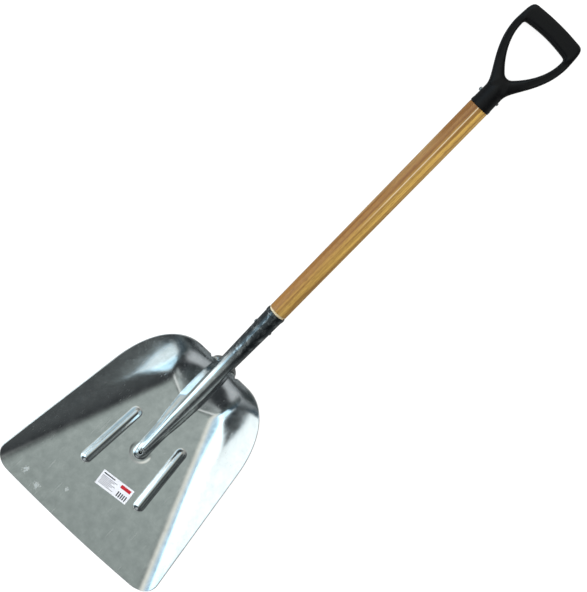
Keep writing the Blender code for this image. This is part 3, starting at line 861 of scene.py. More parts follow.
    def bare_pan(self, x: float, y: float) -> float:
        """Top face of the pan without its boss and beads.

        Args:
            x: Across.
            y: Along, from the cutting edge.

        Returns:
            The height.
        """
        taper = (self.floor_half_front - self.floor_half_back) / (self.floor_front_y - self.heel_y)
        side = self.fold(abs(x) - self.floor_half_back - taper * (y - self.heel_y))
        run = min(max(y - self.heel_y, 0.0), self.heel_radius)
        back = self.heel_radius - math.sqrt(self.heel_radius ** 2 - run ** 2)
        sweep = self.crease_sweep * max(abs(x) - self.boss_radius_heel, 0.0)
        behind = y - self.crease_y - sweep
        ramp = (self.crease_slope + self.crease_bow * max(behind, 0.0)) * behind
        blend = self.crease_blend + (self.crown_blend - self.crease_blend) * smooth_step(behind / (60 * MM))
        overlap = max(blend - abs(back - ramp), 0.0)
        return math.hypot(side, max(back, ramp) + overlap ** 2 / (4 * blend))

    def bead_height(self, x: float, y: float) -> float:
        """Rise of the stiffening beads: steep sides and a rounded crown.

        Args:
            x: Across.
            y: Along, from the cutting edge.

        Returns:
            The rise.
        """
        (x0, y0), (x1, y1) = self.bead_back, self.bead_front
        length_squared = (x1 - x0) ** 2 + (y1 - y0) ** 2
        t = ((abs(x) - x0) * (x1 - x0) + (y - y0) * (y1 - y0)) / length_squared
        t = min(max(t, 0.0), 1.0)
        distance = math.dist((abs(x), y), (x0 + t * (x1 - x0), y0 + t * (y1 - y0)))
        if distance >= self.bead_half:
            return 0.0
        return self.bead_rise * (1 - (distance / self.bead_half) ** 2) ** 1.5

    def dish_height(self, x: float, y: float) -> float:
        """The shallow dish that the press leaves round the boss's tip.

        Args:
            x: Across.
            y: Along, from the cutting edge.

        Returns:
            The dish's height, which is negative.
        """
        distance = math.dist((x, y), (0.0, self.rivet_y + 1 * MM))
        inside = smooth_step((self.dish_radius - distance) / (7 * MM) + 0.5)
        front = smooth_step((self.rivet_y + 14 * MM - y) / (18 * MM))
        return -self.dish_depth * inside * front

    def boss_height(self, x: float, y: float) -> float:
        """Top face of the boss, far below the floor where there is none. Its tip is round about the rivet.

        Args:
            x: Across.
            y: Along, from the cutting edge.

        Returns:
            The height.
        """
        x, y = math.hypot(x, max(self.rivet_y - y, 0.0)), max(y, self.rivet_y)
        full = smooth_step((y - self.boss_full_y) / (self.length - self.boss_full_y))
        crest_radius = self.boss_radius_full + (self.socket_radius_rim - self.boss_radius_full) * full
        axis = self.axis_at_rim + (y - self.length) * math.tan(self.lift)
        crest = axis + crest_radius / math.cos(self.lift)
        near_tip = min((y - self.rivet_y) / (self.boss_full_y - self.rivet_y), 1.0)
        radius = self.boss_radius_tip + (self.boss_radius_heel - self.boss_radius_tip) * near_tip
        radius += (self.socket_radius_rim - self.boss_radius_heel) * full
        steep = (self.draft_heel - (self.draft_heel - self.draft_tip) * (1 - near_tip) ** 4) * radius
        reach = min(x, steep)
        drop = (radius - math.sqrt(radius ** 2 - reach ** 2)) / math.cos(self.lift)
        side_slope = steep / math.sqrt(radius ** 2 - steep ** 2)
        shape = crest - drop - side_slope * (x - reach)
        from_rivet = math.dist((x, y), (0.0, self.rivet_y))
        on_seat = smooth_step((8.0 * MM - from_rivet) / (2.2 * MM))
        return shape + (self.seat_height - shape) * on_seat if shape > 0 else shape

    def height(self, x: float, y: float) -> float:
        """Top face of the whole pan.

        Args:
            x: Across.
            y: Along, from the cutting edge.

        Returns:
            The height.
        """
        base = self.bare_pan(x, y) + self.bead_height(x, y) + self.dish_height(x, y)
        boss = self.boss_height(x, y)
        overlap = max(self.boss_blend - abs(base - boss), 0.0)
        return max(base, boss) + overlap ** 2 / (4 * self.boss_blend)

    def socket_radius(self, distance: float) -> float:
        """Outside radius of the socket, with the bead rolled round its mouth.

        Args:
            distance: Distance from the back rim along the axis.

        Returns:
            The radius.
        """
        taper = self.socket_radius_mouth - self.socket_radius_rim
        radius = self.socket_radius_rim + taper * min(distance / self.socket_length, 1.0)
        into = (distance - self.socket_length + self.mouth_bead_length) / self.mouth_bead_length
        if into <= 0.0:
            return radius
        crown = math.sqrt(max(1 - (2 * min(into, 1.0) - 1) ** 2, 0.0))
        return radius + self.mouth_bead * crown - 0.25 * MM * smooth_step(into * 2 - 1)

    def socket_stations(self) -> list[float]:
        """Distances of the socket's rows from the back rim.

        Returns:
            The distances, rising.
        """
        closing = [self.ear_length * (k + 1) / 18 for k in range(18)]
        plain_end = self.socket_length - self.mouth_bead_length
        plain = [self.ear_length + (plain_end - self.ear_length) * (k + 1) / 30 for k in range(30)]
        turns = [math.pi * (k + 1) / 16 for k in range(16)]
        bead = [plain_end + self.mouth_bead_length * (1 - math.cos(turn)) / 2 for turn in turns]
        return closing + plain + bead

    def socket_point(self, root: Vector, angle: float, distance: float) -> Vector:
        """A point of the socket's row, which grows out of a point of the back rim round the axis.

        Args:
            root: The point of the back rim.
            angle: Where the point ends up round the socket.
            distance: The row's distance from the back rim.

        Returns:
            The point.
        """
        axis = Vector((0.0, math.cos(self.lift), math.sin(self.lift)))
        normal = Vector((0.0, -math.sin(self.lift), math.cos(self.lift)))
        offset = root - self.axis_point(0.0)
        ease = smooth_step(distance / self.ear_length)
        root_radius = math.hypot(offset.x, offset.dot(normal))
        radius = root_radius + (self.socket_radius(distance) - root_radius) * ease
        root_angle = math.atan2(abs(offset.x), offset.dot(normal))
        turn = root_angle + (angle - root_angle) * ease
        along = distance + offset.dot(axis) * max(1 - distance / self.square_length, 0.0)
        point = self.axis_point(along) + radius * math.cos(turn) * normal
        point.x = math.copysign(radius * math.sin(turn), offset.x)
        return point

    def mesh(self) -> bmesh.types.BMesh:
        """The sheet's top face, with the rivet's hole in its seat.

        Returns:
            The mesh, without its thickness.
        """
        bm = bmesh.new()
        columns = self.strip_columns()
        strip = len(columns) - 1
        grid = {}
        for (i, j), (x, y) in self.plan().items():
            from_rivet = Vector((x, y - self.rivet_y))
            if 0.0 < from_rivet.length < self.rivet_hole:
                x, y = from_rivet.normalized() * self.rivet_hole + Vector((0.0, self.rivet_y))
            for side in ((1, -1) if i else (1,)):
                grid[side * i, j] = bm.verts.new((side * x, y, self.height(x, y)))
        for k, distance in enumerate(self.socket_stations()):
            for i in range(-strip, strip + 1):
                root = grid[i, self.row_count].co
                place = self.socket_point(root, columns[abs(i)][1], distance)
                grid[i, self.row_count + 1 + k] = bm.verts.new(place)
        last = strip + self.outer_steps
        for i, j in list(grid):
            corners = [(i, j), (i + 1, j), (i + 1, j + 1), (i, j + 1)]
            if i >= last or not all(corner in grid for corner in corners):
                continue
            verts = [grid[corner] for corner in corners]
            middle = sum((v.co for v in verts), Vector()) / 4
            from_rivet = math.dist((middle.x, middle.y), (0.0, self.rivet_y))
            if from_rivet < self.rivet_hole * 0.98 and middle.z < 2 * self.seat_height:
                continue
            bm.faces.new(verts)
        loose = [v for v in bm.verts if not v.link_faces]
        bmesh.ops.delete(bm, geom=loose, context="VERTS")
        return bm

    def build(self, place: Placement, finish: bpy.types.Material) -> None:
        """Make the blade.

        Args:
            place: The scoop's placement.
            finish: The sheet's material.
        """
        piece = make_piece("scoop_sheet", self.mesh(), finish, sharp=50.0)
        skin = piece.modifiers.new("sheet", "SOLIDIFY")
        skin.thickness = self.sheet
        skin.offset = -1.0
        skin.use_even_offset = False
        skin.use_quality_normals = True
        place.put(piece)
        hand_over(piece, Slot.ALUMINIUM, "blade")


@dataclass
class BackStrap:
    """Strap under the heel that closes the hollow boss from behind."""

    half: float = 29 * MM
    front_y: float = 184 * MM
    arc: float = math.radians(54.0)
    gap: float = 0.3 * MM
    steps: int = 48

    def build(self, scoop: Scoop, place: Placement, finish: bpy.types.Material) -> None:
        """Make the strap.

        Args:
            scoop: The scoop that it lies under.
            place: The scoop's placement.
            finish: The strap's material.
        """
        sheet = scoop.sheet
        centre = Vector((0.0, scoop.heel_y, scoop.heel_radius))
        inner = scoop.heel_radius + sheet + self.gap
        corner = 8 * MM
        rings = []
        for k in range(9):
            angle = math.pi / 2 * k / 8
            half = self.half - corner + corner * math.sin(angle)
            y = self.front_y + corner * (1 - math.cos(angle))
            rings.append(self.ring(half, y, -sheet - self.gap, -2 * sheet - self.gap, 0.0))
        for k in range(self.steps + 1):
            angle = self.arc * k / self.steps
            arm = Vector((0.0, math.sin(angle), -math.cos(angle)))
            near, far = centre + inner * arm, centre + (inner + sheet) * arm
            rings.append(self.ring(self.half, near.y, near.z, far.z, far.y - near.y))
        bm = sleeve(rings)
        bmesh.ops.recalc_face_normals(bm, faces=bm.faces)
        piece = make_piece("heel_strap", bm, finish)
        edges = piece.modifiers.new("dulled edges", "BEVEL")
        edges.width = 0.35 * MM
        edges.segments = 2
        edges.limit_method = "ANGLE"
        place.put(piece)
        hand_over(piece, Slot.ALUMINIUM, "back_strap")

    def ring(self, half: float, y: float, top: float, bottom: float, shift: float) -> list[Point3]:
        """The strap's section at one place, as four corners."""
        return [(-half, y, top), (half, y, top), (half, y + shift, bottom), (-half, y + shift, bottom)]


@dataclass
class Rivets:
    """The tubular rivet in the boss's tip and the two cross rivets."""

    gap: float = 0.3 * MM
    cross_shank: float = 2.2 * MM
    cross_head: float = 4.0 * MM
    cross_tail: float = 3.1 * MM
    tail_steps: int = 6
    head_steps: int = 8
    steps: int = 48

    def tip_profile(self, scoop: Scoop) -> list[Point2]:
        """Tubular rivet: rolled hollow tail on the seat and a domed head under the strap.

        Args:
            scoop: The scoop, for its seat and its sheet.

        Returns:
            The profile, from the bore's foot to the head's crown.
        """
        head_top = -2 * scoop.sheet - 2 * self.gap
        tail = scoop.seat_height + self.gap
        bore, roll, outer = 3.2 * MM, 1.2 * MM, 5.6 * MM
        profile = [(0.0, tail - 12 * MM), (bore, tail - 8 * MM), (bore, tail)]
        for k in range(1, 12):
            angle = math.pi * k / 12
            radius = (bore + outer) / 2 - math.cos(angle) * (outer - bore) / 2
            profile.append((radius, tail + roll * math.sin(angle)))
        shank = scoop.rivet_hole - self.gap
        profile += [(outer, tail), (shank, tail), (shank, head_top), (7.2 * MM, head_top)]
        for k in range(1, 9):
            angle = math.pi / 2 * k / 8
            profile.append((7.2 * MM * math.cos(angle), head_top - 2.5 * MM * math.sin(angle)))
        profile[-1] = (0.0, profile[-1][1])
        return profile

    def cross_profile(self, half_span: float, head_rise: float, tail_rise: float) -> list[Point2]:
        """Cross rivet: a domed head at the left end and a clenched tail at the right.

        Args:
            half_span: Half the width that it passes through.
            head_rise: Height of its head.
            tail_rise: Height of its tail.

        Returns:
            The profile, from the tail to the head.
        """
        span = half_span + self.gap
        profile = [(0.0, span + tail_rise)]
        for k in range(1, self.tail_steps + 1):
            angle = math.pi / 2 * k / self.tail_steps
            profile.append((self.cross_tail * math.sin(angle), span + tail_rise * math.cos(angle)))
        profile += [(self.cross_shank, span), (self.cross_shank, -span)]
        for k in range(self.head_steps):
            angle = math.pi / 2 * k / self.head_steps
            profile.append((self.cross_head * math.cos(angle), -span - head_rise * math.sin(angle)))
        return profile + [(0.0, -span - head_rise)]

    def build(self, scoop: Scoop, shaft: "Shaft", place: Placement, finish: bpy.types.Material,
              bore_shaded: bpy.types.Material) -> None:
        """Make the three rivets.

        Args:
            scoop: The scoop, for its seat and socket.
            shaft: The shaft, for the grip's place.
            place: The scoop's placement.
            finish: The cross rivets' material.
            bore_shaded: The tubular rivet's material, with painted shade low in its bore.
        """
        tip = self.piece("tubular_rivet", self.tip_profile(scoop), bore_shaded)
        place.put(tip, Matrix.Translation((0.0, scoop.rivet_y, 0.0)))
        hand_over(tip, Slot.STEEL, "tip_rivet")
        sideways = Matrix.Rotation(math.pi / 2, 4, "Y")
        socket_at = scoop.socket_length - 39 * MM
        cross = self.piece("socket_cross_rivet",
                           self.cross_profile(scoop.socket_radius(socket_at), 1.8 * MM, 1.4 * MM), finish)
        place.put(cross, Matrix.Translation(scoop.axis_point(socket_at)) @ sideways)
        hand_over(cross, Slot.STEEL, "socket_rivet")
        grip_at = shaft.grip_start(scoop) + 24.5 * MM
        cross = self.piece("grip_cross_rivet", self.cross_profile(19.1 * MM, 3.4 * MM, 1.6 * MM), finish)
        place.put(cross, Matrix.Translation(scoop.axis_point(grip_at)) @ sideways)
        hand_over(cross, Slot.STEEL, "grip_rivet")

    def piece(self, name: str, profile: list[Point2], finish: bpy.types.Material) -> bpy.types.Object:
        """Turn one rivet.

        Args:
            name: The piece's name.
            profile: The rivet's profile.
            finish: Its material.

        Returns:
            The piece, not yet in its place.
        """
        bm = turned(profile, self.steps)
        bmesh.ops.recalc_face_normals(bm, faces=bm.faces)
        return make_piece(name, bm, finish, sharp=55.0)


@dataclass
class Shaft:
    """Turned beech shaft with a tapered toe and a spigot for the grip."""

    visible: float = 514 * MM
    clearance: float = 0.7 * MM
    radius_mouth: float = 18.5 * MM
    radius_grip: float = 19.15 * MM
    toe: float = -105 * MM
    toe_radius: float = 8.5 * MM
    spigot_radius: float = 15.8 * MM
    spigot_length: float = 46 * MM
    steps: int = 96

    def grip_start(self, scoop: Scoop) -> float:
        """Distance of the grip's rim from the back rim."""
        return scoop.socket_length + self.visible

    def profile(self, scoop: Scoop) -> list[Point2]:
        """The shaft's outline from the spigot's end to the toe's.

        Args:
            scoop: The scoop whose socket holds it.

        Returns:
            The outline.
        """
        top = self.grip_start(scoop)
        mouth = scoop.socket_length
        inside = scoop.sheet + self.clearance
        gap = 0.3 * MM
        points = [(0.0, top + self.spigot_length), (self.spigot_radius - 2 * MM, top + self.spigot_length),
                  (self.spigot_radius, top + self.spigot_length - 3 * MM), (self.spigot_radius, top - gap),
                  (self.radius_grip, top - gap)]
        for k in range(1, 41):
            part = k / 40
            radius = self.radius_grip + (self.radius_mouth - self.radius_grip) * smooth_step(part)
            points.append((radius, top - gap - (self.visible - gap - 3 * MM) * part))
        in_mouth = scoop.socket_radius_mouth - inside
        points += [(in_mouth, mouth + 0.5 * MM), (in_mouth, mouth), (scoop.socket_radius_rim - inside, 0.0)]
        points += [(self.toe_radius, self.toe + 3 * MM), (self.toe_radius - 3 * MM, self.toe)]
        return points + [(0.0, self.toe)]

    def build(self, scoop: Scoop, place: Placement, finish: bpy.types.Material) -> None:
        """Make the shaft.

        Args:
            scoop: The scoop whose socket holds it.
            place: The scoop's placement.
            finish: The wood's material.
        """
        bm = turned(self.profile(scoop), self.steps)
        bmesh.ops.recalc_face_normals(bm, faces=bm.faces)
        piece = make_piece("beech_shaft", bm, finish)
        local = Matrix.Translation(scoop.axis_point(0.0)) @ Matrix.Rotation(scoop.lift - math.pi / 2, 4, "X")
        place.put(piece, local)
        hand_over(piece, Slot.WOOD, "shaft")


@dataclass
class DGrip:
    """Moulded D-grip: a neck, two arms with a shallow channel, and a bar for the hand."""

    length: float = 188 * MM
    half_width: float = 60.4 * MM
    neck_half: float = 18.8 * MM
    hole_foot: float = 66.2 * MM
    hole_head: float = 156.2 * MM
    hole_half: float = 46.7 * MM
    bar_half_depth: float = 15 * MM
    arm_half_depth: float = 12.5 * MM
    channel_depth: float = 1.6 * MM
    voxel: float = 0.9 * MM
    section_steps: int = 40

    def outlines(self) -> tuple[list[Point2], list[Point2]]:
        """Outer and inner outline of the right half, from the neck over the bar, as matched points.

        Returns:
            The outer and the inner outline.
        """
        width, hole = self.half_width, self.hole_half
        outer = [(0.0, 30 * MM), (10 * MM, 32 * MM)]
        outer += bezier((self.neck_half, 36 * MM), (self.neck_half, 56 * MM), (width, 91 * MM),
                        (width, 146 * MM), 30)
        outer += bezier((width - 0.2 * MM, 150 * MM), (58.6 * MM, 179 * MM), (58.0 * MM, 185.6 * MM),
                        (44 * MM, 185.9 * MM), 24)
        outer += [(33 * MM, 186.8 * MM), (22 * MM, 187.5 * MM), (11 * MM, 187.9 * MM), (0.0, self.length)]
        inner = [(0.0, self.hole_foot), (4 * MM, self.hole_foot + 0.6 * MM)]
        inner += bezier((7.5 * MM, 68.6 * MM), (17.5 * MM, 77.5 * MM), (hole, 108 * MM),
                        (hole, 145.5 * MM), 30)
        inner += bezier((hole, 146.5 * MM), (46.6 * MM, 151.9 * MM), (46.0 * MM, 152.4 * MM),
                        (37 * MM, 153.6 * MM), 24)
        inner += [(28 * MM, 154.6 * MM), (19 * MM, 155.4 * MM), (9 * MM, 156.0 * MM), (0.0, self.hole_head)]
        return outer, inner

    def section(self, inner: Point2, outer: Point2, depth: float, channel: float, side: int) -> list[Point3]:
        """One rounded section across an arm or the bar.

        Args:
            inner: The section's point on the hole.
            outer: Its point on the outside.
            depth: Half its depth.
            channel: Depth of the channel in its front and back.
            side: 1 on the right, -1 on the left.

        Returns:
            The section's ring of points.
        """
        (ix, iy), (ox, oy) = inner, outer
        ring = []
        for step in range(self.section_steps):
            angle = math.tau * (step + 0.5) / self.section_steps
            across = math.copysign(abs(math.cos(angle)) ** 0.62, math.cos(angle))
            up = math.copysign(abs(math.sin(angle)) ** 0.62, math.sin(angle))
            groove = channel * smooth_step((0.62 - abs(across)) / 0.2)
            rise = (depth - groove) * up
            mix = (1 + across) / 2
            ring.append((side * (ix + (ox - ix) * mix), iy + (oy - iy) * mix, rise))
        return ring

    def loop(self) -> bmesh.types.BMesh:
        """The arms and the bar as one ring of sections.

        Returns:
            The ring's mesh.
        """
        outer, inner = self.outlines()
        count = len(outer)
        stations = [(1, k) for k in range(count)] + [(-1, k) for k in range(count - 2, 0, -1)]
        rings = []
        for side, k in stations:
            y = outer[k][1]
            bar = smooth_step((y - 138 * MM) / (36 * MM))
            foot = max(1 - k / 12, 0.0)
            depth = self.arm_half_depth + (self.bar_half_depth - self.arm_half_depth) * bar + 4 * MM * foot
            start = smooth_step((y - 56 * MM) / (26 * MM))
            channel = self.channel_depth * (1 - bar) * start
            rings.append(self.section(inner[k], outer[k], depth, channel, side))
        return sleeve(rings, closed=True)

    def neck(self) -> bmesh.types.BMesh:
        """The neck as a turned body along y, with its rim's lip.

        Returns:
            The neck's mesh.
        """
        profile = [(0.0, 64 * MM), (7.5 * MM, 62 * MM), (13 * MM, 57 * MM), (16.5 * MM, 49 * MM),
                   (18.8 * MM, 38 * MM), (19.0 * MM, 20 * MM), (19.3 * MM, 8 * MM), (19.9 * MM, 6 * MM),
                   (19.9 * MM, 1.5 * MM), (19.4 * MM, 0.0), (0.0, 0.0)]
        bm = turned(profile, 96)
        bmesh.ops.transform(bm, matrix=Matrix.Rotation(-math.pi / 2, 4, "X"), verts=bm.verts)
        return bm

    def build(self, scoop: Scoop, shaft: Shaft, place: Placement, finish: bpy.types.Material) -> None:
        """Make the grip as one smooth moulding.

        Args:
            scoop: The scoop, for the shaft's axis.
            shaft: The shaft that carries the grip.
            place: The scoop's placement.
            finish: The plastic's material.
        """
        bm = self.loop()
        neck = bpy.data.meshes.new("neck")
        turned_neck = self.neck()
        turned_neck.to_mesh(neck)
        turned_neck.free()
        bm.from_mesh(neck)
        bpy.data.meshes.remove(neck)
        bmesh.ops.recalc_face_normals(bm, faces=bm.faces)
        piece = make_piece("moulded_grip", bm, finish, sharp=180.0)
        skin = piece.modifiers.new("one skin", "REMESH")
        skin.mode = "VOXEL"
        skin.voxel_size = self.voxel
        skin.use_smooth_shade = True
        soft = piece.modifiers.new("soft fillets", "SMOOTH")
        soft.factor = 0.5
        soft.iterations = 4
        start = Matrix.Translation(scoop.axis_point(shaft.grip_start(scoop)))
        local = start @ Matrix.Rotation(scoop.lift, 4, "X")
        place.put(piece, local)
        hand_over(piece, Slot.PLASTIC, "d_grip")


class Ink(Enum):
    """Inks on the label, by their sRGB colour."""

    RULE = "#5E5C66"
    DARK = "#201F26"
    RED = "#C01B2A"


@dataclass
class Label:
    """Paper label with plain rules, a coloured block and evenly spaced bars: no words."""

    size: Point2 = (72 * MM, 31 * MM)
    place_at: Point2 = (10 * MM, 118 * MM)
    turn: float = math.radians(6.0)
    paper: float = 0.3 * MM
    ink: float = 0.06 * MM
    margin: float = 3.5 * MM

    def sheet(self) -> bmesh.types.BMesh:
        """The paper, with a faint curl along its ends.

        Returns:
            The sheet's mesh.
        """
        bm = bmesh.new()
        width, height = self.size
        steps = (36, 16)
        grids = []
        for level in (0, 1):
            rows = []
            for j in range(steps[1] + 1):
                row = []
                for i in range(steps[0] + 1):
                    u, v = i / steps[0] - 0.5, j / steps[1] - 0.5
                    curl = 0.35 * MM * max(abs(u * 2) - 0.86, 0.0) / 0.14 * (0.4 + 0.6 * (u * v > 0))
                    row.append(bm.verts.new((u * width, v * height, self.paper * level + curl)))
                rows.append(row)
            grids.append(rows)
        for level, rows in enumerate(grids):
            for j in range(steps[1]):
                for i in range(steps[0]):
                    quad = (rows[j][i], rows[j][i + 1], rows[j + 1][i + 1], rows[j + 1][i])
                    bm.faces.new(quad if level else quad[::-1])
        low, high = grids
        rim = [(i, 0) for i in range(steps[0])] + [(steps[0], j) for j in range(steps[1])]
        rim += [(i, steps[1]) for i in range(steps[0], 0, -1)] + [(0, j) for j in range(steps[1], 0, -1)]
        for (i, j), (p, q) in zip(rim, rim[1:] + rim[:1]):
            bm.faces.new((low[j][i], low[q][p], high[q][p], high[j][i]))
        return bm

    def marks(self) -> list[tuple[Ink, Point2, Point2]]:
        """Each printed mark: its ink, its centre and its size.

        Returns:
            The marks.
        """
        width, height = self.size
        left, right = -width / 2 + self.margin, width / 2 - self.margin
        top = height / 2 - self.margin
        marks = [(Ink.DARK, (left + 13 * MM, top - 1.3 * MM), (26 * MM, 2.2 * MM))]
        for k in range(7):
            length = (34 - 5 * (k % 3)) * MM
            marks.append((Ink.RULE, (left + length / 2, top - (6.0 + 2.7 * k) * MM), (length, 1.0 * MM)))
        marks.append((Ink.RED, (right - 12 * MM, top - 3.4 * MM), (23 * MM, 6.6 * MM)))
        for k in range(5):
            x = right - (2.0 + 4.6 * k) * MM
            marks.append((Ink.DARK, (x, -height / 2 + 8.4 * MM), (2.4 * MM, 10.4 * MM)))
        return marks

    def print_mesh(self) -> bmesh.types.BMesh:
        """The printed marks as thin bodies on the paper, one material number for each ink.

        Returns:
            The marks' mesh.
        """
        bm = bmesh.new()
        inks = list(Ink)
        for ink, (x, y), (wide, tall) in self.marks():
            made = bmesh.ops.create_cube(bm, size=1.0)
            bmesh.ops.scale(bm, vec=(wide, tall, self.ink), verts=made["verts"])
            bmesh.ops.translate(bm, vec=(x, y, self.paper + self.ink / 2), verts=made["verts"])
            for vert in made["verts"]:
                for face in vert.link_faces:
                    face.material_index = inks.index(ink)
        return bm

    def build(self, place: Placement, finish: bpy.types.Material) -> None:
        """Make the label and its print.

        Args:
            place: The scoop's placement.
            finish: The paper's material.
        """
        local = Matrix.Translation((*self.place_at, 0.25 * MM)) @ Matrix.Rotation(self.turn, 4, "Z")
        paper = make_piece("label_sheet", self.sheet(), finish)
        place.put(paper, local)
        hand_over(paper, Slot.PAPER, "label")
        inks = [CoatedPaper(f"printing_ink_{ink.name.lower()}", ink.value, 0.45, soil=ink.value).material()
                for ink in Ink]
        marks = make_piece("label_print", self.print_mesh(), inks[0])
        for ink in inks[1:]:
            marks.data.materials.append(ink)
        place.put(marks, local)
        hand_over(marks, Slot.PAPER)


# -------------------------------------------------------------------------------- studio


@dataclass
class Softbox:
    """One rectangular light."""

    name: str
    place: Point3
    target: Point3
    size: Point2
    power: float
    colour: str = "#FFFFFF"
    mirrored: bool = False          # whether shiny pieces mirror it

    def build(self) -> None:
        """Make the light, which the camera itself doesn't see."""
        data = bpy.data.lights.new(self.name, "AREA")
        data.shape = "RECTANGLE"
        data.size, data.size_y = self.size
        data.energy = self.power
        data.color = linear(self.colour)[:3]
        light = bpy.data.objects.new(self.name, data)
        light.location = self.place
        aim = Vector(self.target) - Vector(self.place)
        light.rotation_euler = aim.to_track_quat("-Z", "Y").to_euler()
        light.visible_camera = False
        light.visible_glossy = self.mirrored
        bpy.context.scene.collection.objects.link(light)


@dataclass
class Studio:
    """Pale floor, soft light and the camera."""

    eye: Point3 = (-0.0784, 0.5432, 1.9039)
    target: Point3 = (-0.0007, -0.0154, 0.05)
    roll: float = math.radians(-143.73)
    lens: float = 64.97
    # Tones of the surroundings by direction, from -Y (beyond the cutting edge) to +Y (beyond the grip).
    overhead: tuple[tuple[float, str], ...] = (
        (-1.0, "#2C2F33"), (-0.98, "#C4C9CC"), (-0.79, "#C4C9CC"), (-0.73, "#303437"), (-0.48, "#303437"),
        (-0.42, "#CFD6D6"), (-0.33, "#8E9694"), (-0.24, "#969E9C"), (-0.17, "#F8FCFA"), (-0.10, "#F8FCFA"),
        (-0.03, "#79817E"),
        (0.10, "#959D9A"), (0.27, "#B0BAB6"), (0.60, "#B4B8B6"), (1.0, "#B9B6B0"))
    left: tuple[tuple[float, str], ...] = (
        (-1.0, "#3A3E42"), (-0.80, "#5A6266"), (-0.45, "#4A4F53"), (-0.37, "#5A6064"), (-0.31, "#D0DEE8"),
        (-0.14, "#FFFFFF"), (1.0, "#FFFFFF"))
    left_tint: tuple[tuple[float, str], ...] = (
        (-1.0, "#3C4044"), (-0.93, "#4A5054"), (-0.86, "#F4FFFF"), (-0.70, "#C4ECFF"), (-0.52, "#CFEBFF"),
        (-0.36, "#FFFFF4"), (1.0, "#FFFFFF"))
    right: tuple[tuple[float, str], ...] = (
        (-1.0, "#454749"), (0.20, "#454749"), (0.60, "#3E4143"), (0.90, "#55595A"), (1.0, "#727A79"))

    def ramp(self, tree: bpy.types.NodeTree, value: bpy.types.NodeSocket,
             stops: tuple[tuple[float, str], ...]) -> bpy.types.NodeSocket:
        """Turn a direction's component, from -1 to 1, into a tone.

        Args:
            tree: The world's node tree.
            value: The component.
            stops: Values of the component and their sRGB colours.

        Returns:
            The tone's socket.
        """
        place = add_node(tree, "MapRange", {"From Min": -1.0, "From Max": 1.0}, {"Value": value}).outputs[0]
        node = add_node(tree, "ValToRGB", {}, {0: place})
        node.color_ramp.elements[0].color = linear(stops[0][1])
        node.color_ramp.elements[1].color = linear(stops[-1][1])
        for component, colour in stops[1:-1]:
            node.color_ramp.elements.new((component + 1) / 2).color = linear(colour)
        return node.outputs[0]

    def floor(self) -> None:
        """A wide pale floor."""
        bm = bmesh.new()
        bmesh.ops.create_grid(bm, x_segments=1, y_segments=1, size=12.0)
        finish = Finish("painted_studio_floor", "#8E8E8E", 0.9).material()
        tree = finish.node_tree
        shader = tree.nodes["Principled BSDF"]
        shader.inputs["Emission Color"].default_value = linear("#FFFFFF")
        seen = add_node(tree, "LightPath").outputs["Is Camera Ray"]
        glow = add_node(tree, "MapRange", {"To Min": 0.05, "To Max": 0.90}, {"Value": seen}).outputs[0]
        tree.links.new(glow, shader.inputs["Emission Strength"])
        floor = make_piece("studio_floor", bm, finish)
        floor.location.z = -0.2 * MM

    def world(self) -> None:
        """Surroundings: bright on the left, dark on the right and beyond the cutting edge, grey overhead."""
        world = bpy.data.worlds.new("studio_surroundings")
        world.use_nodes = True
        bpy.context.scene.world = world
        tree = world.node_tree
        tree.nodes.clear()
        direction = add_node(tree, "TexCoord").outputs["Generated"]
        parts = add_node(tree, "SeparateXYZ", {}, {0: direction}).outputs
        over = self.ramp(tree, parts[1], self.overhead)
        side = self.ramp(tree, parts[1], self.left)
        tint = self.ramp(tree, parts[0], self.left_tint)
        side = add_node(tree, "Mix", {"data_type": "RGBA", "blend_type": "MULTIPLY", 0: 1.0},
                        {6: side, 7: tint}).outputs[2]
        right = add_node(tree, "MapRange", {"interpolation_type": "SMOOTHSTEP", "From Min": 0.16,
                                            "From Max": 0.60}, {"Value": parts[0]}).outputs[0]
        left = add_node(tree, "MapRange", {"interpolation_type": "SMOOTHSTEP", "From Min": -0.07,
                                           "From Max": -0.34}, {"Value": parts[0]}).outputs[0]
        tone = add_node(tree, "Mix", {"data_type": "RGBA"},
                        {0: right, 6: over, 7: self.ramp(tree, parts[0], self.right)}).outputs[2]
        tone = add_node(tree, "Mix", {"data_type": "RGBA"}, {0: left, 6: tone, 7: side}).outputs[2]
        seen = add_node(tree, "LightPath").outputs["Is Camera Ray"]
        lit = add_node(tree, "Background", {"Strength": 1.0}, {"Color": tone}).outputs[0]
        plain = add_node(tree, "Background", {"Color": linear("#FAFAFA"), "Strength": 1.0}).outputs[0]
        both = add_node(tree, "MixShader", {}, {0: seen, 1: lit, 2: plain}).outputs[0]
        add_node(tree, "OutputWorld", {}, {"Surface": both})

    def lights(self) -> None:
        """A large softbox on the left, two mirrored panels, a fill on the right and a soft one overhead."""
        middle = (0.0, -0.3, 0.05)
        Softbox("left_softbox", (-1.9, -0.1, 0.85), middle, (1.9, 1.3), 34.0, "#F6FAFF").build()
        for name, place, size, power, colour in (
                ("low_panel", (-0.78, -0.78, 0.35), (0.66, 0.64), 1.9, "#F8FFFF"),
                ("high_panel", (-0.74, -0.78, 0.92), (0.66, 0.46), 1.7, "#CCEEFF")):
            Softbox(name, place, (0.3, -0.78, 0.10), size, power, colour, mirrored=True).build()
        Softbox("right_fill", (1.7, 1.2, 1.0), (0.0, 0.55, 0.15), (1.2, 0.9), 24.0, "#FFF9EE").build()
        Softbox("overhead_softbox", (0.3, 1.1, 2.6), (0.0, 0.0, 0.05), (1.6, 1.2), 16.0, "#FFFDF8").build()

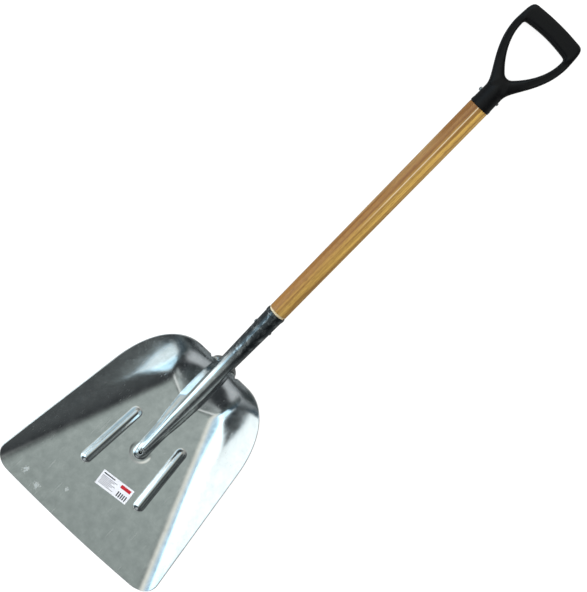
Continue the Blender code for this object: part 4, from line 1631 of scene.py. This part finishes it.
    def camera(self) -> None:
        """The camera: high over the grip's side, rolled so that the shovel lies across the corners."""
        data = bpy.data.cameras.new("studio_camera")
        data.sensor_width = 36.0
        data.lens = self.lens
        data.clip_start = 0.05
        data.clip_end = 60.0
        camera = bpy.data.objects.new("studio_camera", data)
        aim = (Vector(self.target) - Vector(self.eye)).to_track_quat("-Z", "Y").to_matrix().to_4x4()
        camera.matrix_world = Matrix.Translation(self.eye) @ aim @ Matrix.Rotation(self.roll, 4, "Z")
        bpy.context.scene.collection.objects.link(camera)
        bpy.context.scene.camera = camera

    def build(self) -> None:
        """Set up floor, surroundings, lights and camera."""
        self.floor()
        self.world()
        self.lights()
        self.camera()
        bpy.context.scene.view_settings.view_transform = "Standard"
        log.info("studio: floor, surroundings, five softboxes and the camera")


def main() -> None:
    """Build the shovel's pieces in order, then the studio."""
    logging.basicConfig(level=logging.INFO, format="%(message)s")
    scoop = Scoop()
    shaft = Shaft()
    place = Placement.from_frame(scoop.sheet)
    sheet_finish = PressedAluminium(
        "rolled_aluminium_sheet", "#DADCDD", 0.15, 1.0,
        scuffs=((-136 * MM, 29 * MM, 16 * MM), (-100 * MM, 20 * MM, 18 * MM),
                (-53 * MM, 53 * MM, 12 * MM))).material()
    steel = ZincPlatedSteel("zinc_plated_steel", "#C4C6C7", 0.34, 1.0).material()
    # the tubular rivet's steel, with painted shade low in its bore
    bore_shaded_steel = ZincPlatedSteel("zinc_plated_steel_with_painted_bore_shade", "#DDDFE0", 0.50, 1.0,
                                  painted_shade_below=scoop.seat_height - 0.6 * MM).material()
    wood = VarnishedBeech("varnished_beech", "#9E6E30", 0.42,
                          bare_below=scoop.socket_length + 2.2 * MM).material()
    plastic = MouldedPolypropylene("moulded_polypropylene", "#070708", 0.40).material()
    paper = CoatedPaper("coated_label_paper", "#F6F5FA", 0.55).material()
    Studio().build()
    scoop.build(place, sheet_finish)
    BackStrap().build(scoop, place, sheet_finish)
    Rivets().build(scoop, shaft, place, steel, bore_shaded_steel)
    shaft.build(scoop, place, wood)
    DGrip().build(scoop, shaft, place, plastic)
    Label().build(place, paper)


if __name__ == "__main__":
    main()
